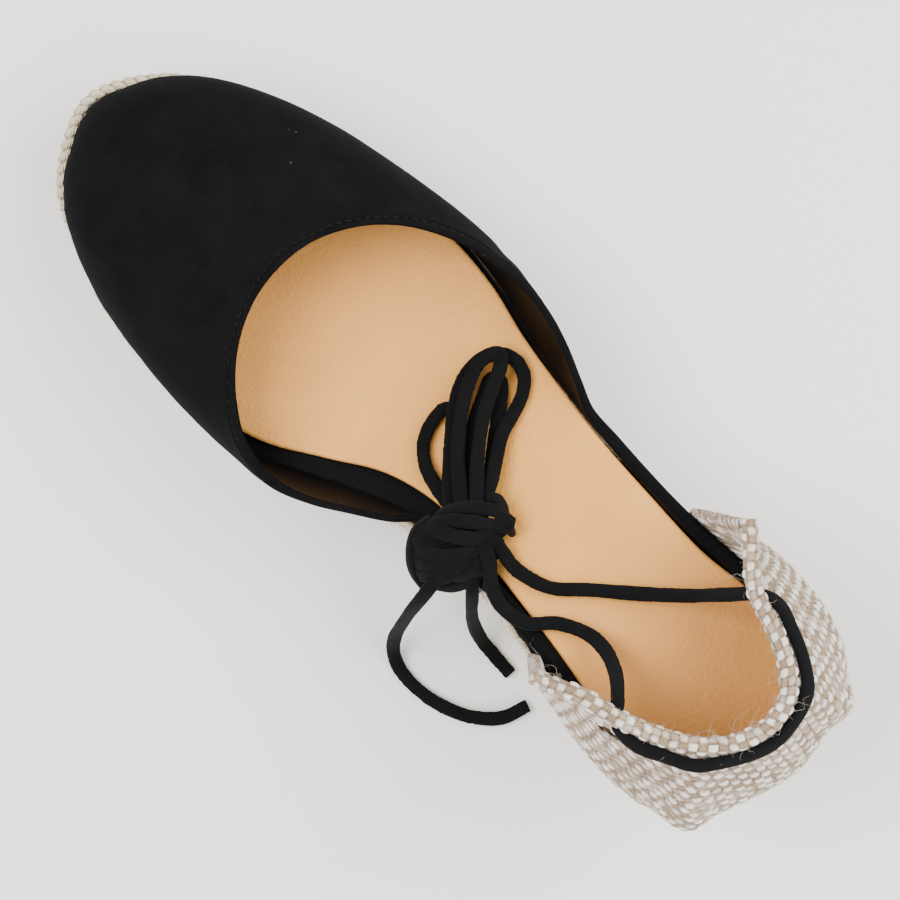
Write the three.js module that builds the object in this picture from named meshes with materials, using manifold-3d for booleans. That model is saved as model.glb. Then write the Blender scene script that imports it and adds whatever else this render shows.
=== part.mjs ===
// Espadrille, right shoe: jute wedge sole, leather insole, suede upper, woven heel counter and suede lace.
// Millimetres. +Z up, +Y towards the toe, +X towards the outer (lateral) side of the foot.
// The origin is on the floor, under the middle of the shoe.
import * as THREE from 'three';
import { mergeVertices } from 'three/addons/utils/BufferGeometryUtils.js';
import Module from 'manifold-3d';

// Driving dimensions.
const PLATFORM = 18; // sole thickness under the forefoot
const HEEL_RISE = 40; // how much higher the heel seat lies than the forefoot
const RAMP_FRONT = 32; // y where the foot bed starts to climb
const RAMP_LENGTH = 112; // length of that climb
const TOE_SPRING = 6; // lift of the sole's underside at the toe tip
const SPRING_START = 55; // y where the underside leaves the floor
const BED_SPRING = 5; // lift of the foot bed at the toe tip
const TOE_Y = 120; // front of the sole
const HEEL_Y = -118; // back of the foot bed
const TOE_X = -4; // sideways place of the toe tip
const HEEL_X = 1; // sideways place of the back of the heel
const GAP = 0.4; // clearance between pieces that touch
const INSOLE = 2.8; // leather sheet
const UPPER_WALL = 1.5; // suede and its lining
const COUNTER_WALL = 2; // woven cloth
const LACE = 3.2; // lace width
const LACE_SIDES = 8;
const LACE_CLEARANCE = 0.8; // between the lace and the cloth that it runs along
const SIDE_BULGE = 0.8; // roundness of the wedge's side

// Fineness of the solids.
const OUTLINE_SAMPLES = 1600; // along a whole outline
const RING_POINTS = 44; // along one side of the sole or insole
const SOLE_LEVELS = [0, 0.12, 0.5, 0.88, 1]; // shares of the wedge's height that carry a ring
const WALL_STEPS = 10; // up a wall
const UPPER_STATIONS = 86;
const COUNTER_STATIONS = 48;
const RUN_STEPS = 72; // along the lace where the shoe holds it

// Colours.
const JUTE = 0xd8caa6;
const TAN_LEATHER = 0xe3bd92;
const BLACK_SUEDE = 0x171718;
const WOVEN_CLOTH = 0xd9cdbb;
const BLACK_LACE = 0x151515;

// Outlines of the sole seen from above. A row is one station along the shoe; medial is -X, lateral is +X.
const SOLE_ROWS = [
  { y: 113, medial: -20, lateral: 11 },
  { y: 103, medial: -29.4, lateral: 20.5 },
  { y: 90, medial: -35.5, lateral: 27.5 },
  { y: 75, medial: -39.6, lateral: 33 },
  { y: 58, medial: -41.4, lateral: 37 },
  { y: 42, medial: -41.4, lateral: 39.6 },
  { y: 28, medial: -39, lateral: 40 },
  { y: 14, medial: -33.2, lateral: 38.2 },
  { y: 0, medial: -26.8, lateral: 34.4 },
  { y: -15, medial: -22.8, lateral: 30.8 },
  { y: -32, medial: -22, lateral: 28.6 },
  { y: -50, medial: -24.2, lateral: 28.6 },
  { y: -68, medial: -28, lateral: 29.8 },
  { y: -86, medial: -30.2, lateral: 30.8 },
  { y: -100, medial: -28.2, lateral: 29.2 },
  { y: -111, medial: -20, lateral: 21 },
];
const GROUND_ENDS = { toe: 116, heel: -113 };
const GROUND_ROWS = [
  { y: 110, medial: -19, lateral: 10 },
  { y: 100, medial: -28, lateral: 19.5 },
  { y: 75, medial: -38.2, lateral: 31.8 },
  { y: 50, medial: -40.6, lateral: 37.4 },
  { y: 28, medial: -38.4, lateral: 39.4 },
  { y: 0, medial: -26.6, lateral: 35 },
  { y: -32, medial: -21.4, lateral: 29.6 },
  { y: -60, medial: -24, lateral: 29 },
  { y: -84, medial: -27.4, lateral: 29.4 },
  { y: -99, medial: -24.6, lateral: 26.6 },
  { y: -108, medial: -17, lateral: 18.5 },
];
const INSOLE_ENDS = { toe: 113.5, heel: -112 };
const INSOLE_ROWS = [
  { y: 107, medial: -19.5, lateral: 11 },
  { y: 97, medial: -27.5, lateral: 19.6 },
  { y: 80, medial: -34, lateral: 27.2 },
  { y: 60, medial: -37, lateral: 32.6 },
  { y: 42, medial: -36.8, lateral: 35.6 },
  { y: 28, medial: -33.4, lateral: 36.4 },
  { y: 14, medial: -25.4, lateral: 34.8 },
  { y: 0, medial: -17.2, lateral: 31.1 },
  { y: -15, medial: -13.8, lateral: 28.2 },
  { y: -32, medial: -15.2, lateral: 25.4 },
  { y: -50, medial: -17.6, lateral: 23.8 },
  { y: -68, medial: -20.6, lateral: 22.8 },
  { y: -86, medial: -24, lateral: 24.6 },
  { y: -98, medial: -22, lateral: 23 },
  { y: -107, medial: -15, lateral: 16.5 },
];

// Sections of the upper, one row for each station round the feather edge. "edge" is the distance from the
// toe tip along the sole's edge, negative on the medial side, and "inset" is how far inside that edge the
// wall stands. x, y, z is the top line there. The wall leaves the sole with a belly and a rise, and comes
// to the top line from a reach outward and a drop below it.
const UPPER_ROWS = [
  { edge: -216, inset: 3.2, x: -23.4, y: -76, z: 62.6, belly: 0.3, rise: 1.5, reach: 0.9, drop: 0.3 },
  { edge: -196, inset: 2.9, x: -19.5, y: -56.4, z: 58.2, belly: 0.3, rise: 1.5, reach: 0.9, drop: 0.3 },
  { edge: -167, inset: 2.3, x: -16.8, y: -28, z: 44.4, belly: 0.3, rise: 1.5, reach: 0.9, drop: 0.3 },
  { edge: -155, inset: 2, x: -19.2, y: -15.6, z: 40.2, belly: 0.5, rise: 2, reach: 0.3, drop: 1.5 },
  { edge: -146, inset: 1.6, x: -25.4, y: -9, z: 40.8, belly: 1, rise: 3, reach: -0.6, drop: 4 },
  { edge: -137, inset: 1, x: -31, y: -0.6, z: 41.5, belly: 1.9, rise: 5, reach: -1, drop: 5 },
  { edge: -128, inset: 1, x: -35.8, y: 7.4, z: 42, belly: 3.1, rise: 6, reach: -0.8, drop: 6 },
  { edge: -119, inset: 0.9, x: -38.8, y: 15.8, z: 42.5, belly: 3.8, rise: 7, reach: 0, drop: 7 },
  { edge: -110, inset: 0.9, x: -39.2, y: 23.6, z: 43.2, belly: 4.6, rise: 8, reach: 1, drop: 8 },
  { edge: -101, inset: 0.9, x: -37, y: 31.4, z: 44.6, belly: 4.2, rise: 10, reach: 3, drop: 6.5 },
  { edge: -91, inset: 0.9, x: -32.2, y: 38.2, z: 47, belly: 3, rise: 12, reach: 6.5, drop: 6 },
  { edge: -78, inset: 0.9, x: -26.4, y: 44, z: 49.5, belly: 2.5, rise: 14, reach: 11, drop: 6 },
  { edge: -62, inset: 1.1, x: -19.8, y: 48.6, z: 52, belly: 1, rise: 15, reach: 17, drop: 6.5 },
  { edge: -45, inset: 1.2, x: -13.2, y: 51.6, z: 54, belly: 1.1, rise: 15, reach: 24, drop: 6.5 },
  { edge: -26, inset: 1.3, x: -6.8, y: 53.3, z: 55.4, belly: 1.6, rise: 15, reach: 30, drop: 6.5 },
  { edge: 0, inset: 2.6, x: 0, y: 53.8, z: 56, belly: 0.5, rise: 15, reach: 33, drop: 6.5 },
  { edge: 26, inset: 1, x: 6.5, y: 53.2, z: 55.4, belly: 2.9, rise: 15, reach: 30, drop: 6.5 },
  { edge: 45, inset: 0.8, x: 12.6, y: 51.4, z: 54, belly: 5.6, rise: 15, reach: 24, drop: 6.5 },
  { edge: 62, inset: 0.8, x: 19, y: 48.2, z: 52, belly: 6, rise: 15, reach: 17, drop: 6.5 },
  { edge: 78, inset: 0.9, x: 24.8, y: 44, z: 49.6, belly: 5.4, rise: 14, reach: 12, drop: 6.5 },
  { edge: 91, inset: 0.9, x: 29.8, y: 38.8, z: 47.4, belly: 5.6, rise: 12, reach: 8, drop: 6.5 },
  { edge: 101, inset: 0.9, x: 33.8, y: 32.6, z: 45.8, belly: 6, rise: 11, reach: 6, drop: 7 },
  { edge: 110, inset: 0.8, x: 36.6, y: 26, z: 44.8, belly: 6.3, rise: 9, reach: 5, drop: 7.5 },
  { edge: 119, inset: 0.8, x: 38.6, y: 17.5, z: 44.4, belly: 6.4, rise: 8, reach: 3.6, drop: 8 },
  { edge: 128, inset: 0.8, x: 39.4, y: 9, z: 44.2, belly: 5, rise: 7, reach: 2.4, drop: 8 },
  { edge: 137, inset: 0.9, x: 38.6, y: 0, z: 44.2, belly: 3.9, rise: 6, reach: 1.4, drop: 7 },
  { edge: 146, inset: 1, x: 36, y: -9, z: 44.6, belly: 2.6, rise: 5, reach: 0.8, drop: 6 },
  { edge: 155, inset: 1, x: 32.2, y: -17.6, z: 45, belly: 1.4, rise: 3, reach: 0.5, drop: 4 },
  { edge: 163, inset: 1, x: 28.4, y: -25.4, z: 43.6, belly: 0.5, rise: 1.8, reach: 0.6, drop: 1.4 },
  { edge: 173, inset: 1.2, x: 27.2, y: -35.4, z: 48, belly: 0.3, rise: 1.5, reach: 0.3, drop: 0.3 },
  { edge: 193, inset: 3.1, x: 25.6, y: -55.2, z: 57.8, belly: 0.3, rise: 1.5, reach: 0.7, drop: 0.3 },
  { edge: 213, inset: 3.9, x: 25.7, y: -75.2, z: 62.6, belly: 0.3, rise: 1.5, reach: 0.8, drop: 0.3 },
];

// Sections of the heel counter. "edge" is the distance from the back of the heel along the sole's edge.
const COUNTER_ROWS = [
  { edge: -81.5, inset: 0.6, x: -29.6, y: -58.8, z: 83, belly: 0.8, rise: 8, reach: -1, drop: 9 },
  { edge: -74, inset: 0.6, x: -27.2, y: -63.6, z: 88, belly: 3.5, rise: 9, reach: 1, drop: 10 },
  { edge: -65, inset: 0.6, x: -23.9, y: -70.2, z: 92.4, belly: 6.4, rise: 10, reach: 2.6, drop: 11 },
  { edge: -53, inset: 0.6, x: -21.4, y: -79.6, z: 97, belly: 8.2, rise: 11, reach: 4, drop: 12 },
  { edge: -41, inset: 0.6, x: -17.6, y: -88.6, z: 100.4, belly: 9, rise: 12, reach: 4.4, drop: 12 },
  { edge: -34, inset: 0.6, x: -15.2, y: -92.8, z: 101.8, belly: 11, rise: 12, reach: 5, drop: 12 },
  { edge: -27, inset: 0.6, x: -12, y: -97, z: 103.2, belly: 18, rise: 12, reach: 7, drop: 13 },
  { edge: -21, inset: 0.6, x: -9.2, y: -99.9, z: 104.2, belly: 11.5, rise: 12, reach: 4.6, drop: 13 },
  { edge: -14, inset: 0.6, x: -6.4, y: -102.4, z: 105, belly: 10, rise: 12, reach: 3.6, drop: 13 },
  { edge: 0, inset: 0.6, x: 1.4, y: -105.2, z: 106, belly: 10.5, rise: 12, reach: 3.6, drop: 13 },
  { edge: 11, inset: 0.6, x: 7.2, y: -104.6, z: 105.4, belly: 11, rise: 12, reach: 4.4, drop: 13 },
  { edge: 18, inset: 0.6, x: 10.8, y: -102.8, z: 104.6, belly: 18.5, rise: 12, reach: 7, drop: 13 },
  { edge: 24, inset: 0.6, x: 13.8, y: -100.2, z: 103.6, belly: 15, rise: 12, reach: 5, drop: 12.5 },
  { edge: 29, inset: 0.6, x: 16, y: -97.6, z: 102.4, belly: 15, rise: 12, reach: 4.4, drop: 12 },
  { edge: 41, inset: 0.6, x: 20, y: -89.6, z: 99.6, belly: 13, rise: 12, reach: 3.6, drop: 12 },
  { edge: 53, inset: 0.6, x: 22.8, y: -82.6, z: 96.4, belly: 12, rise: 11, reach: 2.6, drop: 11 },
  { edge: 62, inset: 0.6, x: 26.8, y: -77.8, z: 92.6, belly: 9, rise: 10, reach: 1, drop: 10 },
  { edge: 70, inset: 0.6, x: 31.6, y: -73.6, z: 88.4, belly: 5, rise: 9, reach: 0, drop: 10 },
  { edge: 77, inset: 0.6, x: 35.6, y: -69.6, z: 84, belly: 0.8, rise: 8, reach: -1, drop: 9 },
];
// Lace slots: stations along the edge, share of the wall's height, and the size of the cut.
const SLOTS = { medial: -52, lateral: 52, height: 0.87, long: 11, tall: 5, deep: 9 };

// Routes of the lace. The inside strands run from the knot to a slot.
const STRAND_MEDIAL = [
  { x: -18.6, y: -32.4, z: 50.4 },
  { x: -21, y: -41.9, z: 54.6 },
  { x: -20, y: -49.3, z: 57.8 },
  { x: -14.4, y: -55.2, z: 58.8 },
  { x: -11.2, y: -61.7, z: 61.6 },
  { x: -11, y: -67.2, z: 66.6 },
  { x: -13.4, y: -72.6, z: 75 },
  { x: -17.4, y: -76.4, z: 85 },
];
const STRAND_LATERAL = [
  { x: -11, y: -31.8, z: 49 },
  { x: -12.2, y: -38.4, z: 51 },
  { x: -9.6, y: -47.6, z: 55.4 },
  { x: -2.9, y: -55.2, z: 58.4 },
  { x: 4.6, y: -64, z: 62.6 },
  { x: 12.2, y: -72.2, z: 71 },
  { x: 18, y: -77.6, z: 82 },
];
// Behind the heel it follows the counter: stations along the edge, and the share of the wall's height.
const BAND_STATIONS = [-45, -37, -28, -19, -9, 0, 10, 20, 29, 37, 45];
const BAND_HEIGHT = { side: 0.87, back: 0.88 };

// Loops of the bow: a point's lift is its height above the insole.
const LOOP_LEFT = [
  { x: -13.4, y: -12.2, lift: 4.4 },
  { x: -14.2, y: -7.8, lift: 2.6 },
  { x: -11.8, y: -3, lift: 2.2 },
  { x: -6.6, y: 0.8, lift: 2.2 },
  { x: -0.2, y: 1.4, lift: 2.2 },
  { x: 4.6, y: -2, lift: 2.2 },
  { x: 4.8, y: -7.4, lift: 2.2 },
  { x: 1.6, y: -11.4, lift: 2.2 },
  { x: -2, y: -14, lift: 3 },
];
const LOOP_RIGHT = [
  { x: -6.2, y: -13.4, lift: 8.4 },
  { x: -1, y: -9.4, lift: 7 },
  { x: 5.6, y: -4.8, lift: 6.1 },
  { x: 12, y: -0.8, lift: 4.8 },
  { x: 18, y: 1.4, lift: 3.2 },
  { x: 23, y: 0.2, lift: 2.2 },
  { x: 25, y: -4.2, lift: 2.2 },
  { x: 22.6, y: -9, lift: 2.2 },
  { x: 17, y: -12.2, lift: 2.2 },
  { x: 10.6, y: -13.6, lift: 2.2 },
  { x: 5, y: -15.6, lift: 2.8 },
  { x: 1.4, y: -18.4, lift: 4.6 },
];
const LOOP_TOP = [
  { x: -10.2, y: -12.6, lift: 11.4 },
  { x: -9, y: -7.6, lift: 8.8 },
  { x: -4.6, y: -2, lift: 7.4 },
  { x: 1.6, y: 2.6, lift: 6.6 },
  { x: 8.6, y: 5.2, lift: 6.2 },
  { x: 15, y: 5.4, lift: 6.6 },
  { x: 20, y: 2.8, lift: 7.4 },
  { x: 21.4, y: -1.8, lift: 6.6 },
  { x: 18, y: -5.6, lift: 5.2 },
  { x: 11.6, y: -7.2, lift: 5 },
  { x: 5.4, y: -9.8, lift: 5.8 },
  { x: 1, y: -13.6, lift: 7.2 },
  { x: -0.8, y: -15.8, lift: 8.2 },
];

// Free ends: they hang over the medial side and lie on the floor.
const END_SHORT = [
  { x: -28.4, y: -26.6, z: 48.4 },
  { x: -31, y: -28.4, z: 45.4 },
  { x: -32.5, y: -29.8, z: 38 },
  { x: -32.9, y: -31, z: 29 },
  { x: -32.9, y: -32.4, z: 19 },
  { x: -32.6, y: -34.6, z: 10 },
  { x: -32.2, y: -38.6, z: 4 },
  { x: -31.4, y: -44.6, z: 1.9 },
  { x: -30.6, y: -51.6, z: 1.9 },
  { x: -30.8, y: -58.2, z: 1.9 },
];
const END_LONG = [
  { x: -29.4, y: -20.6, z: 48.6 },
  { x: -33, y: -20.4, z: 46.6 },
  { x: -35.8, y: -20.8, z: 40 },
  { x: -37.4, y: -21.4, z: 31 },
  { x: -38.8, y: -22.4, z: 21 },
  { x: -40.6, y: -24.4, z: 11 },
  { x: -43.8, y: -28, z: 4.4 },
  { x: -47.6, y: -34, z: 1.9 },
  { x: -49.6, y: -42, z: 1.9 },
  { x: -48.8, y: -50.6, z: 1.9 },
  { x: -45.4, y: -58.6, z: 1.9 },
  { x: -39.8, y: -64.6, z: 1.9 },
  { x: -33, y: -67, z: 1.9 },
];
const KNOT = { x: -14.1, y: -22.7, lift: 9, wide: 14, deep: 9.4, high: 5.4 };

// Heights of the foot bed (top of the sole) and of the sole's underside.
function bed(y) {
  const climb = THREE.MathUtils.smoothstep(RAMP_FRONT - y, 0, RAMP_LENGTH);
  const spring = Math.max(0, (y - SPRING_START) / (TOE_Y - SPRING_START));
  return PLATFORM + HEEL_RISE * climb + BED_SPRING * spring * spring;
}

function underside(y) {
  const spring = Math.max(0, (y - SPRING_START) / (TOE_Y - SPRING_START));
  return TOE_SPRING * spring * spring;
}

// Smooth value of one column of a table, where key is the column that orders the rows.
function column(rows, key, name, at) {
  let i = 0;
  while (i < rows.length - 2 && at > rows[i + 1][key]) {
    i += 1;
  }
  const slope = (j) => {
    const a = rows[Math.max(j - 1, 0)];
    const b = rows[Math.min(j + 1, rows.length - 1)];
    return (b[name] - a[name]) / (b[key] - a[key]);
  };
  const from = rows[i];
  const to = rows[i + 1];
  const span = to[key] - from[key];
  const t = THREE.MathUtils.clamp((at - from[key]) / span, 0, 1);
  const bend = t * t * (3 - 2 * t);
  const swing = slope(i) * t * (1 - t) * (1 - t) - slope(i + 1) * t * t * (1 - t);
  return from[name] + (to[name] - from[name]) * bend + swing * span;
}

// A closed outline from toe tip along the medial side to the heel and back along the lateral side.
class Outline {
  constructor(rows, toeY, heelY) {
    const toe = new THREE.Vector2(TOE_X, toeY);
    const heel = new THREE.Vector2(HEEL_X, heelY);
    const medial = rows.map((row) => new THREE.Vector2(row.medial, row.y));
    const lateral = rows.map((row) => new THREE.Vector2(row.lateral, row.y)).reverse();
    const knots = [toe, ...medial, heel, ...lateral].map((p) => new THREE.Vector3(p.x, p.y, 0));
    this.curve = new THREE.CatmullRomCurve3(knots, true, 'centripetal');
    this.curve.arcLengthDivisions = OUTLINE_SAMPLES;
    this.length = this.curve.getLength();
    this.heelAt = this.shareNear(heel);
  }

  shareNear(target) {
    let best = 0;
    let nearest = Infinity;
    for (let i = 0; i <= OUTLINE_SAMPLES; i += 1) {
      const p = this.curve.getPointAt(i / OUTLINE_SAMPLES);
      const d = Math.hypot(p.x - target.x, p.y - target.y);
      if (d < nearest) {
        nearest = d;
        best = i / OUTLINE_SAMPLES;
      }
    }
    return best;
  }

  // Point at a share of one side, 0 at the toe tip and 1 at the heel. side is -1 for medial, 1 for lateral.
  onSide(share, side) {
    const at = side < 0 ? share * this.heelAt : 1 - share * (1 - this.heelAt);
    return this.curve.getPointAt(at);
  }

  // Point and outward direction at a distance from the toe tip or the heel, negative towards the medial side.
  atDistance(distance, fromHeel) {
    const share = fromHeel ? this.heelAt + distance / this.length : -distance / this.length;
    const at = THREE.MathUtils.euclideanModulo(share, 1);
    const point = this.curve.getPointAt(at);
    const along = this.curve.getTangentAt(at);
    return { point, outward: new THREE.Vector3(-along.y, along.x, 0).negate() };
  }
}

const SOLE_TOP = new Outline(SOLE_ROWS, TOE_Y, HEEL_Y);
const GROUND = new Outline(GROUND_ROWS, GROUND_ENDS.toe, GROUND_ENDS.heel);
const INSOLE_EDGE = new Outline(INSOLE_ROWS, INSOLE_ENDS.toe, INSOLE_ENDS.heel);

// Closed solid from a list of triangles over points, with its faces turned outward.
function solid(points, faces) {
  const geometry = new THREE.BufferGeometry();
  let volume = 0;
  for (const [a, b, c] of faces) {
    volume += points[a].dot(new THREE.Vector3().crossVectors(points[b], points[c]));
  }
  const order = volume < 0 ? faces.map(([a, b, c]) => [a, c, b]) : faces;
  geometry.setAttribute('position', new THREE.Float32BufferAttribute(points.flatMap((p) => p.toArray()), 3));
  geometry.setIndex(order.flat());
  return geometry;
}

function quad(faces, a, b, c, d) {
  faces.push([a, b, c]);
  faces.push([a, c, d]);
}

// Solid with a ring of points at each level. A ring's medial and lateral halves close it with strips.
function stackedRings(rings) {
  const count = rings[0].length;
  const points = rings.flat();
  const faces = [];
  for (let level = 0; level + 1 < rings.length; level += 1) {
    for (let i = 0; i < count; i += 1) {
      const next = (i + 1) % count;
      const low = level * count;
      quad(faces, low + i, low + next, low + count + next, low + count + i);
    }
  }
  const half = count / 2;
  for (const [base, flip] of [[0, true], [(rings.length - 1) * count, false]]) {
    for (let i = 0; i < half; i += 1) {
      const a = base + i;
      const b = base + i + 1;
      const c = base + ((count - i - 1) % count);
      const d = base + ((count - i) % count);
      const face = flip ? [d, c, b, a] : [a, b, c, d];
      if (i === 0) {
        faces.push(flip ? [c, b, a] : [a, b, c]);
      } else if (i === half - 1) {
        faces.push(flip ? [d, b, a] : [a, b, d]);
      } else {
        quad(faces, ...face);
      }
    }
  }
  return solid(points, faces);
}

// Ring of an outline at heights given by a function of y, medial side first.
function ring(outline, height) {
  const points = [];
  for (let i = 0; i < RING_POINTS; i += 1) {
    points.push(outline.onSide(i / RING_POINTS, -1));
  }
  for (let i = RING_POINTS; i > 0; i -= 1) {
    points.push(outline.onSide(i / RING_POINTS, 1));
  }
  return points.map((p) => new THREE.Vector3(p.x, p.y, height(p.y)));
}

// Direction out of the sole in plan, mostly sideways except at the two ends.
function awayFromMiddle(point) {
  return new THREE.Vector3(point.x * 0.8, point.y * 0.2, 0).normalize();
}

// The wedge. Its side bulges between the ground and the foot bed, and both edges are drawn in by that bulge.
function makeSole() {
  const top = ring(SOLE_TOP, bed);
  const ground = ring(GROUND, underside);
  const rings = SOLE_LEVELS.map((level) => top.map((p, i) => {
    const point = ground[i].clone().lerp(p, level);
    const bulge = SIDE_BULGE * Math.sqrt(4 * level * (1 - level));
    return point.addScaledVector(awayFromMiddle(point), bulge - SIDE_BULGE);
  }));
  return stackedRings(rings);
}

function insoleTop(y) {
  return bed(y) + GAP + INSOLE;
}

function makeInsole() {
  const low = ring(INSOLE_EDGE, (y) => bed(y) + GAP);
  const high = ring(INSOLE_EDGE, insoleTop);
  return stackedRings([low, high]);
}

// The four control points of a wall section at one station.
function wallSection(rows, fromHeel, edge) {
  const value = (name) => column(rows, 'edge', name, edge);
  const { point, outward } = SOLE_TOP.atDistance(edge, fromHeel);
  const foot = point.clone().addScaledVector(outward, -value('inset'));
  foot.z = bed(foot.y) + GAP;
  const crest = new THREE.Vector3(value('x'), value('y'), value('z'));
  const lower = foot.clone().addScaledVector(outward, value('belly'));
  lower.z += value('rise');
  const upper = crest.clone().addScaledVector(outward, value('reach'));
  upper.z -= value('drop');
  return new THREE.CubicBezierCurve3(foot, lower, upper, crest);
}

// Grid of points over a wall: stations evenly along the edge, from the first row to the last, by steps up.
function wallGrid(rows, fromHeel, count) {
  const first = rows[0].edge;
  const last = rows[rows.length - 1].edge;
  return Array.from({ length: count + 1 }, (_, i) => {
    const edge = THREE.MathUtils.lerp(first, last, i / count);
    return wallSection(rows, fromHeel, edge).getPoints(WALL_STEPS);
  });
}

function gridNormal(grid, i, j) {
  const along = grid[Math.min(i + 1, grid.length - 1)][j].clone().sub(grid[Math.max(i - 1, 0)][j]);
  const up = grid[i][Math.min(j + 1, grid[i].length - 1)].clone().sub(grid[i][Math.max(j - 1, 0)]);
  return along.cross(up).normalize();
}

// Hollow wall: the grid is one skin, and the other lies a wall's thickness away, on the side given.
function makeWall(grid, thickness, side) {
  const inner = grid.map((line, i) => line.map((p, j) => {
    const moved = p.clone().addScaledVector(gridNormal(grid, i, j), side * thickness);
    moved.z = Math.max(moved.z, bed(moved.y) + GAP);
    return moved;
  }));
  const steps = grid[0].length;
  const points = [...grid.flat(), ...inner.flat()];
  const shift = grid.length * steps;
  const faces = [];
  for (let i = 0; i + 1 < grid.length; i += 1) {
    for (let j = 0; j + 1 < steps; j += 1) {
      const a = i * steps + j;
      quad(faces, a, a + steps, a + steps + 1, a + 1);
      quad(faces, shift + a, shift + a + 1, shift + a + steps + 1, shift + a + steps);
    }
    const foot = i * steps;
    const crest = foot + steps - 1;
    quad(faces, foot, shift + foot, shift + foot + steps, foot + steps);
    quad(faces, crest, crest + steps, shift + crest + steps, shift + crest);
  }
  for (const [line, turn] of [[0, false], [grid.length - 1, true]]) {
    for (let j = 0; j + 1 < steps; j += 1) {
      const a = line * steps + j;
      if (turn) {
        quad(faces, a, shift + a, shift + a + 1, a + 1);
      } else {
        quad(faces, a, a + 1, shift + a + 1, shift + a);
      }
    }
  }
  return solid(points, faces);
}

function makeUpper() {
  return makeWall(wallGrid(UPPER_ROWS, false, UPPER_STATIONS), UPPER_WALL, 1);
}

const wasm = await Module();
wasm.setup();

function toManifold(geometry) {
  const plain = geometry.clone();
  plain.deleteAttribute('normal');
  plain.deleteAttribute('uv');
  const merged = mergeVertices(plain, 1e-4);
  return new wasm.Manifold(new wasm.Mesh({
    numProp: 3,
    vertProperties: new Float32Array(merged.attributes.position.array),
    triVerts: new Uint32Array(merged.index.array),
  }));
}

function fromManifold(body) {
  const mesh = body.getMesh();
  const geometry = new THREE.BufferGeometry();
  geometry.setAttribute('position', new THREE.BufferAttribute(mesh.vertProperties, 3));
  geometry.setIndex(new THREE.BufferAttribute(mesh.triVerts, 1));
  return geometry;
}

// Place and outward direction on the counter's outer skin, at an edge station and a share of the height.
function counterSkin(edge, share) {
  const stepAlong = 0.5;
  const stepUp = 0.02;
  const section = wallSection(COUNTER_ROWS, true, edge);
  const point = section.getPoint(share);
  const along = wallSection(COUNTER_ROWS, true, edge + stepAlong).getPoint(share).sub(point);
  const up = section.getPoint(share + stepUp).sub(point);
  return { point, outward: up.cross(along).normalize().multiplyScalar(-1), along: along.normalize() };
}

function makeCounter() {
  let body = toManifold(makeWall(wallGrid(COUNTER_ROWS, true, COUNTER_STATIONS), COUNTER_WALL, -1));
  for (const edge of [SLOTS.medial, SLOTS.lateral]) {
    const { point, outward, along } = counterSkin(edge, SLOTS.height);
    const up = outward.clone().cross(along).normalize();
    const cutter = new THREE.BoxGeometry(SLOTS.long, SLOTS.tall, SLOTS.deep);
    cutter.applyMatrix4(new THREE.Matrix4().makeBasis(along, up, outward).setPosition(point));
    body = body.subtract(toManifold(cutter));
  }
  return fromManifold(body);
}

// Tube of the lace's width along a route.
function laceTube(points, steps) {
  const route = new THREE.CatmullRomCurve3(points, false, 'centripetal');
  const section = new THREE.Shape();
  section.absarc(0, 0, LACE / 2, 0, Math.PI * 2);
  return new THREE.ExtrudeGeometry(section, {
    steps,
    curveSegments: LACE_SIDES / 2,
    bevelEnabled: false,
    extrudePath: route,
  });
}

function atHeight(rows) {
  return rows.map((row) => new THREE.Vector3(row.x, row.y, row.z));
}

function onInsole(rows) {
  return rows.map((row) => new THREE.Vector3(row.x, row.y, insoleTop(row.y) + row.lift));
}

// The lace from the knot through one slot, round the back of the counter and through the other slot.
function makeLaceRun() {
  const off = LACE / 2 + LACE_CLEARANCE;
  const reach = BAND_STATIONS[BAND_STATIONS.length - 1];
  const outside = BAND_STATIONS.map((edge) => {
    const share = THREE.MathUtils.lerp(BAND_HEIGHT.back, BAND_HEIGHT.side, Math.abs(edge) / reach);
    const { point, outward } = counterSkin(edge, share);
    return point.addScaledVector(outward, off);
  });
  const through = [SLOTS.medial, SLOTS.lateral].map((edge) => {
    const { point, outward } = counterSkin(edge, SLOTS.height);
    return point.addScaledVector(outward, -COUNTER_WALL / 2);
  });
  const points = [
    ...atHeight(STRAND_MEDIAL), through[0], ...outside, through[1], ...atHeight(STRAND_LATERAL).reverse(),
  ];
  return laceTube(points, RUN_STEPS);
}

// The knot's outer shape, tilted to lie along the foot bed.
function makeKnot() {
  const reach = KNOT.wide / 2;
  const slope = Math.atan2(insoleTop(KNOT.y - reach) - insoleTop(KNOT.y + reach), 2 * reach);
  const body = new THREE.SphereGeometry(1, 16, 12);
  body.scale(KNOT.wide, KNOT.deep, KNOT.high);
  body.rotateX(-slope);
  body.translate(KNOT.x, KNOT.y, insoleTop(KNOT.y) + KNOT.lift);
  return body;
}

const group = new THREE.Group();

function add(name, geometry, color, roughness) {
  const mesh = new THREE.Mesh(geometry, new THREE.MeshStandardMaterial({ color, roughness, metalness: 0 }));
  mesh.name = name;
  group.add(mesh);
}

add('sole', makeSole(), JUTE, 0.95);
add('insole', makeInsole(), TAN_LEATHER, 0.6);
add('upper', makeUpper(), BLACK_SUEDE, 0.95);
add('counter', makeCounter(), WOVEN_CLOTH, 0.95);
add('lace_run', makeLaceRun(), BLACK_LACE, 0.9);
add('lace_knot', makeKnot(), BLACK_LACE, 0.9);
add('lace_loop_left', laceTube(onInsole(LOOP_LEFT), 9), BLACK_LACE, 0.9);
add('lace_loop_right', laceTube(onInsole(LOOP_RIGHT), 13), BLACK_LACE, 0.9);
add('lace_loop_top', laceTube(onInsole(LOOP_TOP), 14), BLACK_LACE, 0.9);
add('lace_end_short', laceTube(atHeight(END_SHORT), 11), BLACK_LACE, 0.9);
add('lace_end_long', laceTube(atHeight(END_LONG), 15), BLACK_LACE, 0.9);

export default group;
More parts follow.
